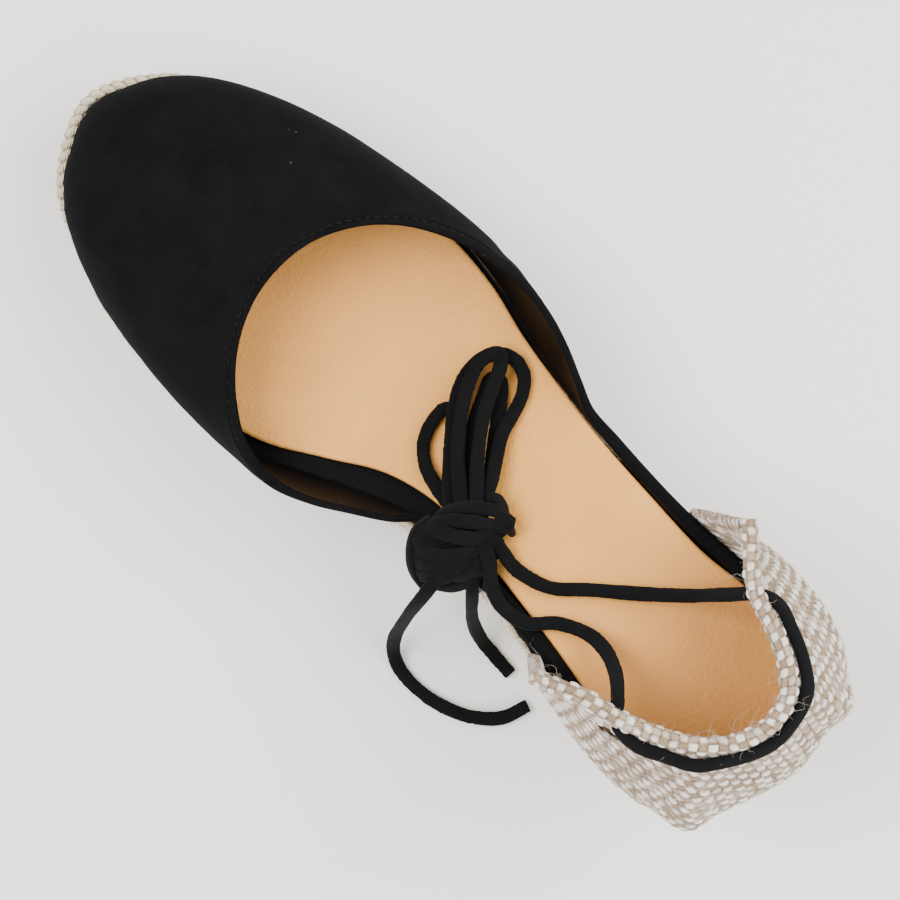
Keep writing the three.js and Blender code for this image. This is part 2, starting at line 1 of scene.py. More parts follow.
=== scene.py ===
"""Espadrille, right shoe: jute wedge sole, tan insole, black suede upper, woven heel counter and lace."""

import logging
import math
from dataclasses import dataclass
from enum import Enum

import bpy
import numpy as np
from mathutils import Matrix, Vector

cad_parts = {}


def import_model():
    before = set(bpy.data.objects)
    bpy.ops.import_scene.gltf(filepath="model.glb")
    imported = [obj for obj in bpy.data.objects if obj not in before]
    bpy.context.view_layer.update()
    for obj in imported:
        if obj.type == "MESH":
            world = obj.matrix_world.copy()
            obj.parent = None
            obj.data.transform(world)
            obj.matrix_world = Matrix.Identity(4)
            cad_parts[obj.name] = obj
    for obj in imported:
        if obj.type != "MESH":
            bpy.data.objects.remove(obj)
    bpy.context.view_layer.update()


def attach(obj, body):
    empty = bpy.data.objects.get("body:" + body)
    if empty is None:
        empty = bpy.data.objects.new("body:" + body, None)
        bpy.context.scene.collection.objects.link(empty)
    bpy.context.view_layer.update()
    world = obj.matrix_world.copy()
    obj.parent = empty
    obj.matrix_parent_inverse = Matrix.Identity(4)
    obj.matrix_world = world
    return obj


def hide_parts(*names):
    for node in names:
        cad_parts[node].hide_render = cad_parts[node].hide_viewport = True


MM = 0.001
LOG = logging.getLogger("espadrille")

# The shoe's sizes, in millimetres, as in the part.
PLATFORM = 18.0
HEEL_RISE = 40.0
RAMP_FRONT = 32.0
RAMP_LENGTH = 112.0
TOE_SPRING = 6.0
SPRING_START = 55.0
BED_SPRING = 5.0
TOE_Y = 120.0
HEEL_Y = -118.0
TOE_X = -4.0
HEEL_X = 1.0
GAP = 0.4
INSOLE = 2.8
GROUND_TOE_Y = 116.0
GROUND_HEEL_Y = -113.0
INSOLE_TOE_Y = 113.5
INSOLE_HEEL_Y = -112.0


class BraidRow(Enum):
    """How a row of braid runs: along the sole's top edge, or lying flat above the ground."""

    EDGE = "edge"
    LYING = "lying"


@dataclass(frozen=True)
class Table:
    """Rows of sizes under named columns. The first column orders the rows.

    Args:
        names: The columns' names, parted by spaces.
        rows: The rows.
    """

    names: str
    rows: tuple[tuple[float, ...], ...]

    def column(self, name: str) -> np.ndarray:
        """One column as an array."""
        place = self.names.split().index(name)
        return np.array([row[place] for row in self.rows], float)

    def at(self, name: str, where: np.ndarray) -> np.ndarray:
        """Smooth value of a column between the rows.

        Args:
            name: The column.
            where: Places on the first column.

        Returns:
            One value for each place.
        """
        keys = self.column(self.names.split()[0])
        values = self.column(name)
        last = len(keys) - 1
        low = np.maximum(np.arange(len(keys)) - 1, 0)
        high = np.minimum(np.arange(len(keys)) + 1, last)
        slope = (values[high] - values[low]) / (keys[high] - keys[low])
        i = np.clip(np.searchsorted(keys, where, "left") - 1, 0, last - 1)
        span = keys[i + 1] - keys[i]
        t = np.clip((where - keys[i]) / span, 0, 1)
        swing = slope[i] * t * (1 - t) ** 2 - slope[i + 1] * t * t * (1 - t)
        return values[i] + (values[i + 1] - values[i]) * t * t * (3 - 2 * t) + swing * span


SOLE_ROWS = Table("y medial lateral", (
    (113, -20, 11), (103, -29.4, 20.5), (90, -35.5, 27.5), (75, -39.6, 33), (58, -41.4, 37),
    (42, -41.4, 39.6), (28, -39, 40), (14, -33.2, 38.2), (0, -26.8, 34.4), (-15, -22.8, 30.8),
    (-32, -22, 28.6), (-50, -24.2, 28.6), (-68, -28, 29.8), (-86, -30.2, 30.8), (-100, -28.2, 29.2),
    (-111, -20, 21),
))
GROUND_ROWS = Table("y medial lateral", (
    (110, -19, 10), (100, -28, 19.5), (75, -38.2, 31.8), (50, -40.6, 37.4), (28, -38.4, 39.4),
    (0, -26.6, 35), (-32, -21.4, 29.6), (-60, -24, 29), (-84, -27.4, 29.4), (-99, -24.6, 26.6),
    (-108, -17, 18.5),
))
INSOLE_ROWS = Table("y medial lateral", (
    (107, -19.5, 11), (97, -27.5, 19.6), (80, -34, 27.2), (60, -37, 32.6), (42, -36.8, 35.6),
    (28, -33.4, 36.4), (14, -25.4, 34.8), (0, -17.2, 31.1), (-15, -13.8, 28.2), (-32, -15.2, 25.4),
    (-50, -17.6, 23.8), (-68, -20.6, 22.8), (-86, -24, 24.6), (-98, -22, 23), (-107, -15, 16.5),
))
WALL_NAMES = "edge inset x y z belly rise reach drop"
UPPER_ROWS = Table(WALL_NAMES, (
    (-216, 3.2, -23.4, -76, 62.6, 0.3, 1.5, 0.9, 0.3),
    (-196, 2.9, -19.5, -56.4, 58.2, 0.3, 1.5, 0.9, 0.3),
    (-167, 2.3, -16.8, -28, 44.4, 0.3, 1.5, 0.9, 0.3),
    (-155, 2, -19.2, -15.6, 40.2, 0.5, 2, 0.3, 1.5),
    (-146, 1.6, -25.4, -9, 40.8, 1, 3, -0.6, 4),
    (-137, 1, -31, -0.6, 41.5, 1.9, 5, -1, 5),
    (-128, 1, -35.8, 7.4, 42, 3.1, 6, -0.8, 6),
    (-119, 0.9, -38.8, 15.8, 42.5, 3.8, 7, 0, 7),
    (-110, 0.9, -39.2, 23.6, 43.2, 4.6, 8, 1, 8),
    (-101, 0.9, -37, 31.4, 44.6, 4.2, 10, 3, 6.5),
    (-91, 0.9, -32.2, 38.2, 47, 3, 12, 6.5, 6),
    (-78, 0.9, -26.4, 44, 49.5, 2.5, 14, 11, 6),
    (-62, 1.1, -19.8, 48.6, 52, 1, 15, 17, 6.5),
    (-45, 1.2, -13.2, 51.6, 54, 1.1, 15, 24, 6.5),
    (-26, 1.3, -6.8, 53.3, 55.4, 1.6, 15, 30, 6.5),
    (0, 2.6, 0, 53.8, 56, 0.5, 15, 33, 6.5),
    (26, 1, 6.5, 53.2, 55.4, 2.9, 15, 30, 6.5),
    (45, 0.8, 12.6, 51.4, 54, 5.6, 15, 24, 6.5),
    (62, 0.8, 19, 48.2, 52, 6, 15, 17, 6.5),
    (78, 0.9, 24.8, 44, 49.6, 5.4, 14, 12, 6.5),
    (91, 0.9, 29.8, 38.8, 47.4, 5.6, 12, 8, 6.5),
    (101, 0.9, 33.8, 32.6, 45.8, 6, 11, 6, 7),
    (110, 0.8, 36.6, 26, 44.8, 6.3, 9, 5, 7.5),
    (119, 0.8, 38.6, 17.5, 44.4, 6.4, 8, 3.6, 8),
    (128, 0.8, 39.4, 9, 44.2, 5, 7, 2.4, 8),
    (137, 0.9, 38.6, 0, 44.2, 3.9, 6, 1.4, 7),
    (146, 1, 36, -9, 44.6, 2.6, 5, 0.8, 6),
    (155, 1, 32.2, -17.6, 45, 1.4, 3, 0.5, 4),
    (163, 1, 28.4, -25.4, 43.6, 0.5, 1.8, 0.6, 1.4),
    (173, 1.2, 27.2, -35.4, 48, 0.3, 1.5, 0.3, 0.3),
    (193, 3.1, 25.6, -55.2, 57.8, 0.3, 1.5, 0.7, 0.3),
    (213, 3.9, 25.7, -75.2, 62.6, 0.3, 1.5, 0.8, 0.3),
    (222, 4.4, 25.5, -84, 63, 0.3, 1.5, 0.8, 0.3),
))
COUNTER_ROWS = Table(WALL_NAMES, (
    (-81.5, 0.6, -29.6, -58.8, 83, 0.8, 8, -1, 9),
    (-74, 0.6, -27.2, -63.6, 88, 3.5, 9, 1, 10),
    (-65, 0.6, -23.9, -70.2, 92.4, 6.4, 10, 2.6, 11),
    (-53, 0.6, -21.4, -79.6, 97, 8.2, 11, 4, 12),
    (-41, 0.6, -17.6, -88.6, 100.4, 9, 12, 4.4, 12),
    (-34, 0.6, -15.2, -92.8, 101.8, 11, 12, 5, 12),
    (-27, 0.6, -12, -97, 103.2, 18, 12, 7, 13),
    (-21, 0.6, -9.2, -99.9, 104.2, 11.5, 12, 4.6, 13),
    (-14, 0.6, -6.4, -102.4, 105, 10, 12, 3.6, 13),
    (0, 0.6, 1.4, -105.2, 106, 10.5, 12, 3.6, 13),
    (11, 0.6, 7.2, -104.6, 105.4, 11, 12, 4.4, 13),
    (18, 0.6, 10.8, -102.8, 104.6, 18.5, 12, 7, 13),
    (24, 0.6, 13.8, -100.2, 103.6, 15, 12, 5, 12.5),
    (29, 0.6, 16, -97.6, 102.4, 15, 12, 4.4, 12),
    (41, 0.6, 20, -89.6, 99.6, 13, 12, 3.6, 12),
    (53, 0.6, 22.8, -82.6, 96.4, 12, 11, 2.6, 11),
    (62, 0.6, 26.8, -77.8, 92.6, 9, 10, 1, 10),
    (70, 0.6, 31.6, -73.6, 88.4, 5, 9, 0, 10),
    (77, 0.6, 35.6, -69.6, 84, 0.8, 8, -1, 9),
))
SLOT_STATION = 52.0
SLOT_HEIGHT = 0.87

# Lace routes, as in the part: points in the frame, or a height above the insole in the loops.
STRAND_MEDIAL = (
    (-13.4, -29.2, 55), (-15.6, -33.4, 53.2), (-19.4, -38, 54.2), (-21, -43.4, 55.6),
    (-19.6, -49.8, 57.8), (-14.4, -55.2, 58.8), (-11.2, -61.7, 61.6), (-11, -67.2, 66.6),
    (-13.4, -72.6, 75), (-17.4, -76.4, 85),
)
STRAND_LATERAL = (
    (-11.6, -27.4, 55), (-11.2, -32.4, 51.8), (-12, -38.4, 51), (-9.6, -47.6, 55.4), (-2.9, -55.2, 58.4),
    (4.6, -64, 62.6), (12.2, -72.2, 71), (18, -77.6, 82),
)
BAND_STATIONS = (-45, -37, -28, -19, -9, 0, 10, 20, 29, 37, 45)
LOOP_LEFT = (
    (-13.9, -22, 6), (-12.3, -16.8, 5.4), (-11, -10.6, 3.4), (-9, -5.1, 2.4), (-5.5, -1.2, 2.2),
    (-0.5, 1, 2.2), (4.3, 1.2, 2.4), (5.6, -1.2, 3), (3.5, -4.1, 3.2), (-0.9, -7.2, 3.2),
    (-5.5, -11.3, 3.6), (-8.7, -15.4, 5), (-12.1, -20.7, 7),
)
LOOP_INNER = (
    (-12.4, -22.9, 7), (-8.2, -17.9, 5), (-2.5, -13, 2.6), (4.7, -7.8, 2.2), (12, -3.9, 2.2),
    (17.9, -1.8, 2.2), (18.9, -3.5, 2.2), (16, -6.7, 2.2), (11.6, -9.9, 2.2), (5.9, -14, 2.4),
    (0.5, -18, 3.4), (-4.7, -21.4, 5.4), (-10.3, -25, 7),
)
LOOP_RIGHT = (
    (-14.6, -20.7, 9), (-10.9, -15.2, 7.6), (-6.2, -10.6, 6.2), (-0.3, -5.3, 5.6), (5.2, -0.9, 5.4),
    (10.2, 2.2, 5.2), (15.3, 3.6, 5), (20.4, 3.2, 4.6), (24, 0.6, 4), (25.1, -3.5, 3), (23.7, -7.1, 2.2),
    (20.2, -9.9, 2.2), (15.3, -11.7, 2.2), (9.9, -13.2, 3.4), (4.7, -16.1, 5), (-0.2, -19.2, 6.4),
    (-5.8, -22.2, 8), (-10.4, -24.9, 9),
)
LOOP_TOP = (
    (-11.4, -24, 12), (-7, -20.4, 10.6), (-1.6, -15.4, 9.2), (4.5, -10.4, 8.8), (10.4, -6.4, 8.6),
    (16.2, -3.5, 8.4), (20.8, -1.4, 8), (23.4, 1.1, 6.8), (21.2, 2.9, 7.4), (16.6, 2.9, 8.4),
    (11.8, 0.9, 8.6), (7.2, -1.8, 8.6), (2.2, -5.6, 8.4), (-3, -10.3, 8.6), (-7, -14.8, 9.8),
    (-13.1, -22.2, 11.4),
)
END_SHORT = (
    (-18.2, -29.8, 50), (-20.8, -32.7, 49.4), (-22.9, -35, 46.6), (-25, -37.4, 39), (-26.8, -39.5, 29),
    (-28.1, -41.8, 18), (-29, -44.6, 9), (-29.7, -47.9, 3.6), (-29.9, -51.1, 1.9), (-30.2, -54.5, 1.9),
    (-30.4, -58.2, 1.9),
)
END_LONG = (
    (-25.8, -27.1, 50.4), (-29, -27.2, 50), (-32.5, -27.7, 47.6), (-35.8, -28.1, 42), (-38.9, -28.7, 33),
    (-41.5, -29.4, 23), (-44.7, -30.6, 12), (-47.4, -33, 4.6), (-49.3, -36.8, 1.9), (-50, -42.4, 1.9),
    (-48.8, -50.6, 1.9), (-45.4, -58.6, 1.9), (-39.8, -64.6, 1.9), (-33, -67, 1.9),
)
KNOT_CENTRE = (-18.4, -24.9, 6)
KNOT_STRAPS = (
    ((-17.2, -16.5, 6), (-14.3, -16.8, 10), (-10, -19.6, 12.4), (-6.7, -23.5, 11.8), (-4.7, -27, 9),
     (-4.6, -29.6, 4)),
    ((-22.9, -16.5, 4), (-19, -16.7, 9.4), (-15, -19.2, 12.8), (-11.5, -23.4, 13.2), (-8.5, -27.4, 11.2),
     (-6.4, -30.2, 7.6), (-6, -31.6, 3)),
    ((-21.6, -15.6, 7), (-18.9, -19.2, 12.4), (-16.2, -23.9, 13.4), (-13, -27.3, 11.8),
     (-9.5, -29.4, 8.4), (-7.3, -29.8, 4)),
    ((-25.8, -16.4, 4.4), (-25.1, -19.7, 9.4), (-22.2, -24.5, 11.8), (-17.8, -27.6, 11),
     (-13.1, -29.3, 8.8), (-9.5, -30.1, 5)),
    ((-28.1, -18.6, 4), (-26.9, -22.7, 8.6), (-23.8, -26.7, 10), (-19.2, -28.8, 9.4), (-14.8, -29.9, 7),
     (-11.2, -30.1, 3)),
    ((-29.8, -21.8, 2.4), (-28.5, -25, 6.8), (-26, -27.8, 8.2), (-22.2, -29.2, 7.8), (-18.3, -29.8, 5.4),
     (-14.6, -30.8, 2.6)),
    ((-17.8, -15.6, 7.6), (-22.1, -15, 8.2), (-26.1, -17, 7.8), (-29.2, -20.4, 5.8), (-30.4, -23.4, 3.2),
     (-30.8, -26, -1)),
    ((-7.4, -22.9, 7.4), (-5, -22.2, 8.8), (-3.2, -23.2, 8.8), (-3.4, -25.2, 8.4), (-4.6, -27.4, 7),
     (-6.3, -28, 5)),
    ((-7.2, -27, 10.4), (-5.3, -28.6, 9.6), (-4.8, -30.6, 7.6)),
    ((-11.2, -31.3, 4), (-15.2, -32.9, 3), (-19.1, -33.4, 2), (-22.7, -32.8, 2), (-26, -31, 2.6),
     (-28.6, -27.6, 3)),
)


def smoothstep(value: np.ndarray, low: float, high: float) -> np.ndarray:
    """Soft step from 0 at low to 1 at high."""
    t = np.clip((value - low) / (high - low), 0, 1)
    return t * t * (3 - 2 * t)


def hump(value: np.ndarray, height: float, middle: float, reach: float) -> np.ndarray:
    """Soft hump round a middle value, or a hollow if its height is below 0."""
    return height * np.exp(-(((value - middle) / reach) ** 2))


def bed(y: np.ndarray) -> np.ndarray:
    """Height of the foot bed, the top of the sole, along the shoe.

    Args:
        y: Places along the shoe.

    Returns:
        One height for each place.
    """
    climb = smoothstep(RAMP_FRONT - y, 0, RAMP_LENGTH)
    spring = np.maximum(0, (y - SPRING_START) / (TOE_Y - SPRING_START))
    return PLATFORM + HEEL_RISE * climb + BED_SPRING * spring**2


def underside(y: np.ndarray) -> np.ndarray:
    """Height of the sole's underside along the shoe."""
    return TOE_SPRING * np.maximum(0, (y - SPRING_START) / (TOE_Y - SPRING_START)) ** 2


def insole_top(y: np.ndarray) -> np.ndarray:
    """Height of the insole's face along the shoe."""
    return bed(y) + GAP + INSOLE


def unit(vectors: np.ndarray) -> np.ndarray:
    """Vectors of length 1."""
    return vectors / np.maximum(np.linalg.norm(vectors, axis=-1, keepdims=True), 1e-9)


def smooth_curve(points: np.ndarray, closed: bool, per_span: int = 24) -> np.ndarray:
    """Centripetal curve through points.

    Args:
        points: The points, one a row.
        closed: True for a ring, which then ends where it starts.
        per_span: Samples between two points.

    Returns:
        Dense points along the curve.
    """
    points = np.asarray(points, float)
    count = len(points)
    if closed:
        padded = np.vstack([points[-1:], points, points[:2]])
        spans = count
    else:
        padded = np.vstack([2 * points[0] - points[1], points, 2 * points[-1] - points[-2]])
        spans = count - 1
    t = np.linspace(0, 1, per_span, endpoint=False)[:, None]
    pieces = []
    for i in range(spans):
        p0, p1, p2, p3 = padded[i : i + 4]
        d0, d1, d2 = (max(math.sqrt(np.linalg.norm(b - a)), 1e-4) for a, b in ((p0, p1), (p1, p2), (p2, p3)))
        m1 = ((p1 - p0) / d0 - (p2 - p0) / (d0 + d1) + (p2 - p1) / d1) * d1
        m2 = ((p2 - p1) / d1 - (p3 - p1) / (d1 + d2) + (p3 - p2) / d2) * d1
        cubic = 2 * p1 - 2 * p2 + m1 + m2
        square = -3 * p1 + 3 * p2 - 2 * m1 - m2
        pieces.append(p1 + m1 * t + square * t**2 + cubic * t**3)
    pieces.append(padded[spans + 1][None] if not closed else points[:1])
    return np.vstack(pieces)


def travelled(points: np.ndarray) -> np.ndarray:
    """Distance along a line of points, from its first."""
    steps = np.linalg.norm(np.diff(points, axis=0), axis=1)
    return np.concatenate([[0], np.cumsum(steps)])


def resample(points: np.ndarray, count: int) -> np.ndarray:
    """The same line in points that are equally far apart.

    Args:
        points: The line, one point a row.
        count: Number of points wanted.

    Returns:
        The new points, one a row.
    """
    along = travelled(points)
    wanted = np.linspace(0, along[-1], count)
    return np.stack([np.interp(wanted, along, points[:, k]) for k in range(points.shape[1])], axis=1)


class Outline:
    """A closed outline from the toe tip along the medial side to the heel and back.

    Args:
        table: The rows of the outline.
        toe: y of the toe tip.
        heel: y of the back of the heel.
    """

    def __init__(self, table: Table, toe: float, heel: float) -> None:
        """Builds the curve and finds the heel on it.

        Args:
            table: The rows of the outline.
            toe: y of the toe tip.
            heel: y of the back of the heel.
        """
        y = table.column("y")
        medial = np.stack([table.column("medial"), y], axis=1)
        lateral = np.stack([table.column("lateral"), y], axis=1)[::-1]
        knots = np.vstack([[[TOE_X, toe]], medial, [[HEEL_X, heel]], lateral])
        self.line = smooth_curve(knots, True, 120)
        self.along = travelled(self.line)
        self.length = self.along[-1]
        nearest = np.argmin(np.hypot(self.line[:, 0] - HEEL_X, self.line[:, 1] - heel))
        self.heel_at = self.along[nearest] / self.length

    def at(self, share: np.ndarray) -> tuple[np.ndarray, np.ndarray]:
        """Points and outward directions at shares of the whole outline.

        Args:
            share: Shares from the toe tip, which may run past 0 or 1.

        Returns:
            Points and outward directions, two numbers each.
        """
        wanted = np.mod(share, 1) * self.length
        point = np.stack([np.interp(wanted, self.along, self.line[:, k]) for k in range(2)], axis=-1)
        ahead = np.mod(wanted + 0.4, self.length)
        behind = np.mod(wanted - 0.4, self.length)
        run = np.stack([
            np.interp(ahead, self.along, self.line[:, k]) - np.interp(behind, self.along, self.line[:, k])
            for k in range(2)
        ], axis=-1)
        run = unit(run)
        return point, np.stack([run[..., 1], -run[..., 0]], axis=-1)

    def at_distance(self, distance: np.ndarray, from_heel: bool) -> tuple[np.ndarray, np.ndarray]:
        """Points and outward directions at distances from the toe tip or the heel.

        Args:
            distance: Distances along the outline, negative on the medial side.
            from_heel: True to measure from the heel, and not from the toe tip.

        Returns:
            Points and outward directions, two numbers each.
        """
        share = self.heel_at + distance / self.length if from_heel else -distance / self.length
        return self.at(share)


SOLE_EDGE = Outline(SOLE_ROWS, TOE_Y, HEEL_Y)
GROUND_EDGE = Outline(GROUND_ROWS, GROUND_TOE_Y, GROUND_HEEL_Y)
INSOLE_EDGE = Outline(INSOLE_ROWS, INSOLE_TOE_Y, INSOLE_HEEL_Y)


@dataclass(frozen=True)
class Wall:
    """A wall that stands on the sole's edge, through sections in a table.

    Args:
        table: Rows of sections round the edge.
        from_heel: True if the edge is measured from the heel, and not from the toe.
    """

    table: Table
    from_heel: bool

    def bend(self, edge: np.ndarray) -> tuple[np.ndarray, ...]:
        """The four control points of the wall's section at each station, from the foot to the crest.

        Args:
            edge: Stations along the edge.

        Returns:
            Four arrays with a point for each station.
        """
        value = {name: self.table.at(name, edge) for name in WALL_NAMES.split()[1:]}
        point, outward = SOLE_EDGE.at_distance(edge, self.from_heel)
        outward = np.column_stack([outward, np.zeros(len(edge))])
        foot = np.column_stack([point, np.zeros(len(edge))]) - outward * value["inset"][:, None]
        foot[:, 2] = bed(foot[:, 1]) + GAP
        crest = np.column_stack([value["x"], value["y"], value["z"]])
        lower = foot + outward * value["belly"][:, None]
        lower[:, 2] += value["rise"]
        upper = crest + outward * value["reach"][:, None]
        upper[:, 2] -= value["drop"]
        return foot, lower, upper, crest

    def point(self, edge: np.ndarray, share: np.ndarray) -> np.ndarray:
        """Points of the outer skin at stations and shares of the section's own curve.

        Args:
            edge: Stations along the edge.
            share: Shares from the foot to the crest.

        Returns:
            One point for each.
        """
        foot, lower, upper, crest = self.bend(edge)
        t = np.asarray(share, float)[..., None]
        return foot * (1 - t) ** 3 + lower * 3 * t * (1 - t) ** 2 + upper * 3 * t**2 * (1 - t) + crest * t**3

    def facing(self, edge: np.ndarray, share: np.ndarray) -> np.ndarray:
        """Outward directions of the outer skin at stations and shares of the section's own curve.

        Args:
            edge: Stations along the edge.
            share: Shares from the foot to the crest.

        Returns:
            One direction for each.
        """
        here = self.point(edge, share)
        along = self.point(edge + 0.5, share) - here
        up = self.point(edge, np.asarray(share) + 0.02) - here
        flow = np.cross(along, up)
        return unit(flow * self.turn)

    @property
    def turn(self) -> int:
        """1 or -1, whichever makes the cross of along and up point out of the shoe."""
        return 1 if self.from_heel else -1

    def section(self, edge: np.ndarray, samples: int) -> np.ndarray:
        """Outer skin at stations, from the foot to the crest, evenly by length.

        Args:
            edge: Stations along the edge.
            samples: Points in each section.

        Returns:
            Stations by samples by 3.
        """
        t = np.linspace(0, 1, 120)
        lines = np.stack([self.point(edge, np.full(len(edge), share)) for share in t], axis=1)
        return np.stack([resample(line, samples) for line in lines])


UPPER_WALL = Wall(UPPER_ROWS, False)
COUNTER_WALL = Wall(COUNTER_ROWS, True)


# ---------------------------------------------------------------- workshop tools


def clear_selection() -> None:
    """Leaves object mode with nothing selected."""
    if bpy.context.object and bpy.context.object.mode != "OBJECT":
        bpy.ops.object.mode_set(mode="OBJECT")
    bpy.ops.object.select_all(action="DESELECT")


def pick(piece: bpy.types.Object) -> None:
    """Selects one piece alone and makes it active."""
    clear_selection()
    piece.select_set(True)
    bpy.context.view_layer.objects.active = piece


def set_places(piece: bpy.types.Object, places: np.ndarray) -> None:
    """Puts a piece's vertices at places in millimetres.

    Args:
        piece: The piece.
        places: One place for each vertex.
    """
    flat = (np.asarray(places, float).reshape(-1, 3) * MM).astype(np.float32)
    piece.data.vertices.foreach_set("co", flat.ravel())
    piece.data.update()


def set_map(piece: bpy.types.Object, coords: np.ndarray) -> None:
    """Gives a piece's UV map two numbers for each vertex.

    Args:
        piece: The piece.
        coords: Two numbers for each vertex.
    """
    layer = piece.data.uv_layers.active or piece.data.uv_layers.new(name="UVMap")
    corners = np.zeros(len(piece.data.loops), np.int32)
    piece.data.loops.foreach_get("vertex_index", corners)
    flat = np.asarray(coords, float).reshape(-1, 2)[corners].astype(np.float32)
    layer.data.foreach_set("uv", flat.ravel())


def set_value(piece: bpy.types.Object, name: str, values: np.ndarray) -> None:
    """Stores one number for each vertex under a name that materials read."""
    attribute = piece.data.attributes.new(name, "FLOAT", "POINT")
    attribute.data.foreach_set("value", np.asarray(values, np.float32).ravel())


def signed_volume(piece: bpy.types.Object) -> float:
    """Volume inside a closed piece, negative if it is inside out.

    Args:
        piece: The piece.

    Returns:
        The volume in cubic metres.
    """
    piece.data.calc_loop_triangles()
    corners = np.zeros(len(piece.data.loop_triangles) * 3, np.int32)
    piece.data.loop_triangles.foreach_get("vertices", corners)
    places = np.zeros(len(piece.data.vertices) * 3)
    piece.data.vertices.foreach_get("co", places)
    a, b, c = (places.reshape(-1, 3)[corners.reshape(-1, 3)[:, k]] for k in range(3))
    return float(np.einsum("ij,ij->i", a, np.cross(b, c)).sum() / 6)


def close_and_face_out(piece: bpy.types.Object, angle: float = 180.0) -> None:
    """Merges the seams of a piece, turns its faces outwards and shades it.

    Args:
        piece: The piece.
        angle: Edges sharper than this many degrees stay sharp.
    """
    pick(piece)
    bpy.ops.object.mode_set(mode="EDIT")
    bpy.ops.mesh.select_all(action="SELECT")
    bpy.ops.mesh.remove_doubles(threshold=1e-6)
    bpy.ops.mesh.dissolve_degenerate(threshold=1e-8)
    bpy.ops.object.mode_set(mode="OBJECT")
    if signed_volume(piece) < 0:
        bpy.ops.object.mode_set(mode="EDIT")
        bpy.ops.mesh.select_all(action="SELECT")
        bpy.ops.mesh.flip_normals()
        bpy.ops.object.mode_set(mode="OBJECT")
    if angle < 180:
        bpy.ops.object.shade_smooth_by_angle(angle=math.radians(angle))
    else:
        bpy.ops.object.shade_smooth()


def grid_piece(name: str, places: np.ndarray, coords: np.ndarray) -> bpy.types.Object:
    """A grid primitive shaped to a field of points.

    Args:
        name: The piece's name.
        places: Rows by columns by 3, in millimetres.
        coords: Rows by columns by 2, for the UV map.

    Returns:
        The piece, not yet merged along its seams.
    """
    rows, columns = places.shape[:2]
    clear_selection()
    bpy.ops.mesh.primitive_grid_add(x_subdivisions=columns - 1, y_subdivisions=rows - 1, size=1)
    piece = bpy.context.object
    piece.name = name
    piece.data.name = name
    assert len(piece.data.vertices) == rows * columns, (name, len(piece.data.vertices), rows, columns)
    set_places(piece, places)
    set_map(piece, coords)
    return piece


def many(name: str, shape: bpy.types.Object, frames: np.ndarray, centres: np.ndarray) -> bpy.types.Object:
    """One joined piece of many turned and stretched copies of a small shape, which is used up.

    Args:
        name: The new piece's name.
        shape: The small shape, of unit size.
        frames: Count by 3 by 3, whose columns are the copy's own axes in millimetres.
        centres: Count by 3, in millimetres.

    Returns:
        The joined piece.
    """
    own = np.zeros(len(shape.data.vertices) * 3)
    shape.data.vertices.foreach_get("co", own)
    own = own.reshape(-1, 3)
    sides = [tuple(face.vertices) for face in shape.data.polygons]
    places = np.einsum("nij,vj->nvi", frames, own) + centres[:, None]
    count = len(own)
    faces = [tuple(k * count + v for v in side) for k in range(len(frames)) for side in sides]
    mesh = bpy.data.meshes.new(name)
    mesh.from_pydata((places.reshape(-1, 3) * MM).tolist(), [], faces)
    piece = bpy.data.objects.new(name, mesh)
    bpy.context.scene.collection.objects.link(piece)
    layer = mesh.uv_layers.new(name="UVMap")
    corners = np.zeros(len(mesh.loops), np.int32)
    mesh.loops.foreach_get("vertex_index", corners)
    around = np.arctan2(own[:, 2], own[:, 1]) / (2 * math.pi)
    coords = np.tile(np.column_stack([own[:, 0] * 0.5 + 0.5, around]), (len(frames), 1))
    layer.data.foreach_set("uv", coords[corners].astype(np.float32).ravel())
    bpy.data.objects.remove(shape)
    pick(piece)
    bpy.ops.object.shade_smooth()
    return piece


def small_bead(segments: int, rings: int) -> bpy.types.Object:
    """A bead of unit radius whose poles lie on X, for many().

    Args:
        segments: Faces round it.
        rings: Faces from pole to pole.

    Returns:
        The bead.
    """
    clear_selection()
    bpy.ops.mesh.primitive_uv_sphere_add(segments=segments, ring_count=rings, radius=1, location=(0, 0, 0))
    bead = bpy.context.object
    bead.data.transform(Matrix.Rotation(math.pi / 2, 4, "Y"))
    return bead


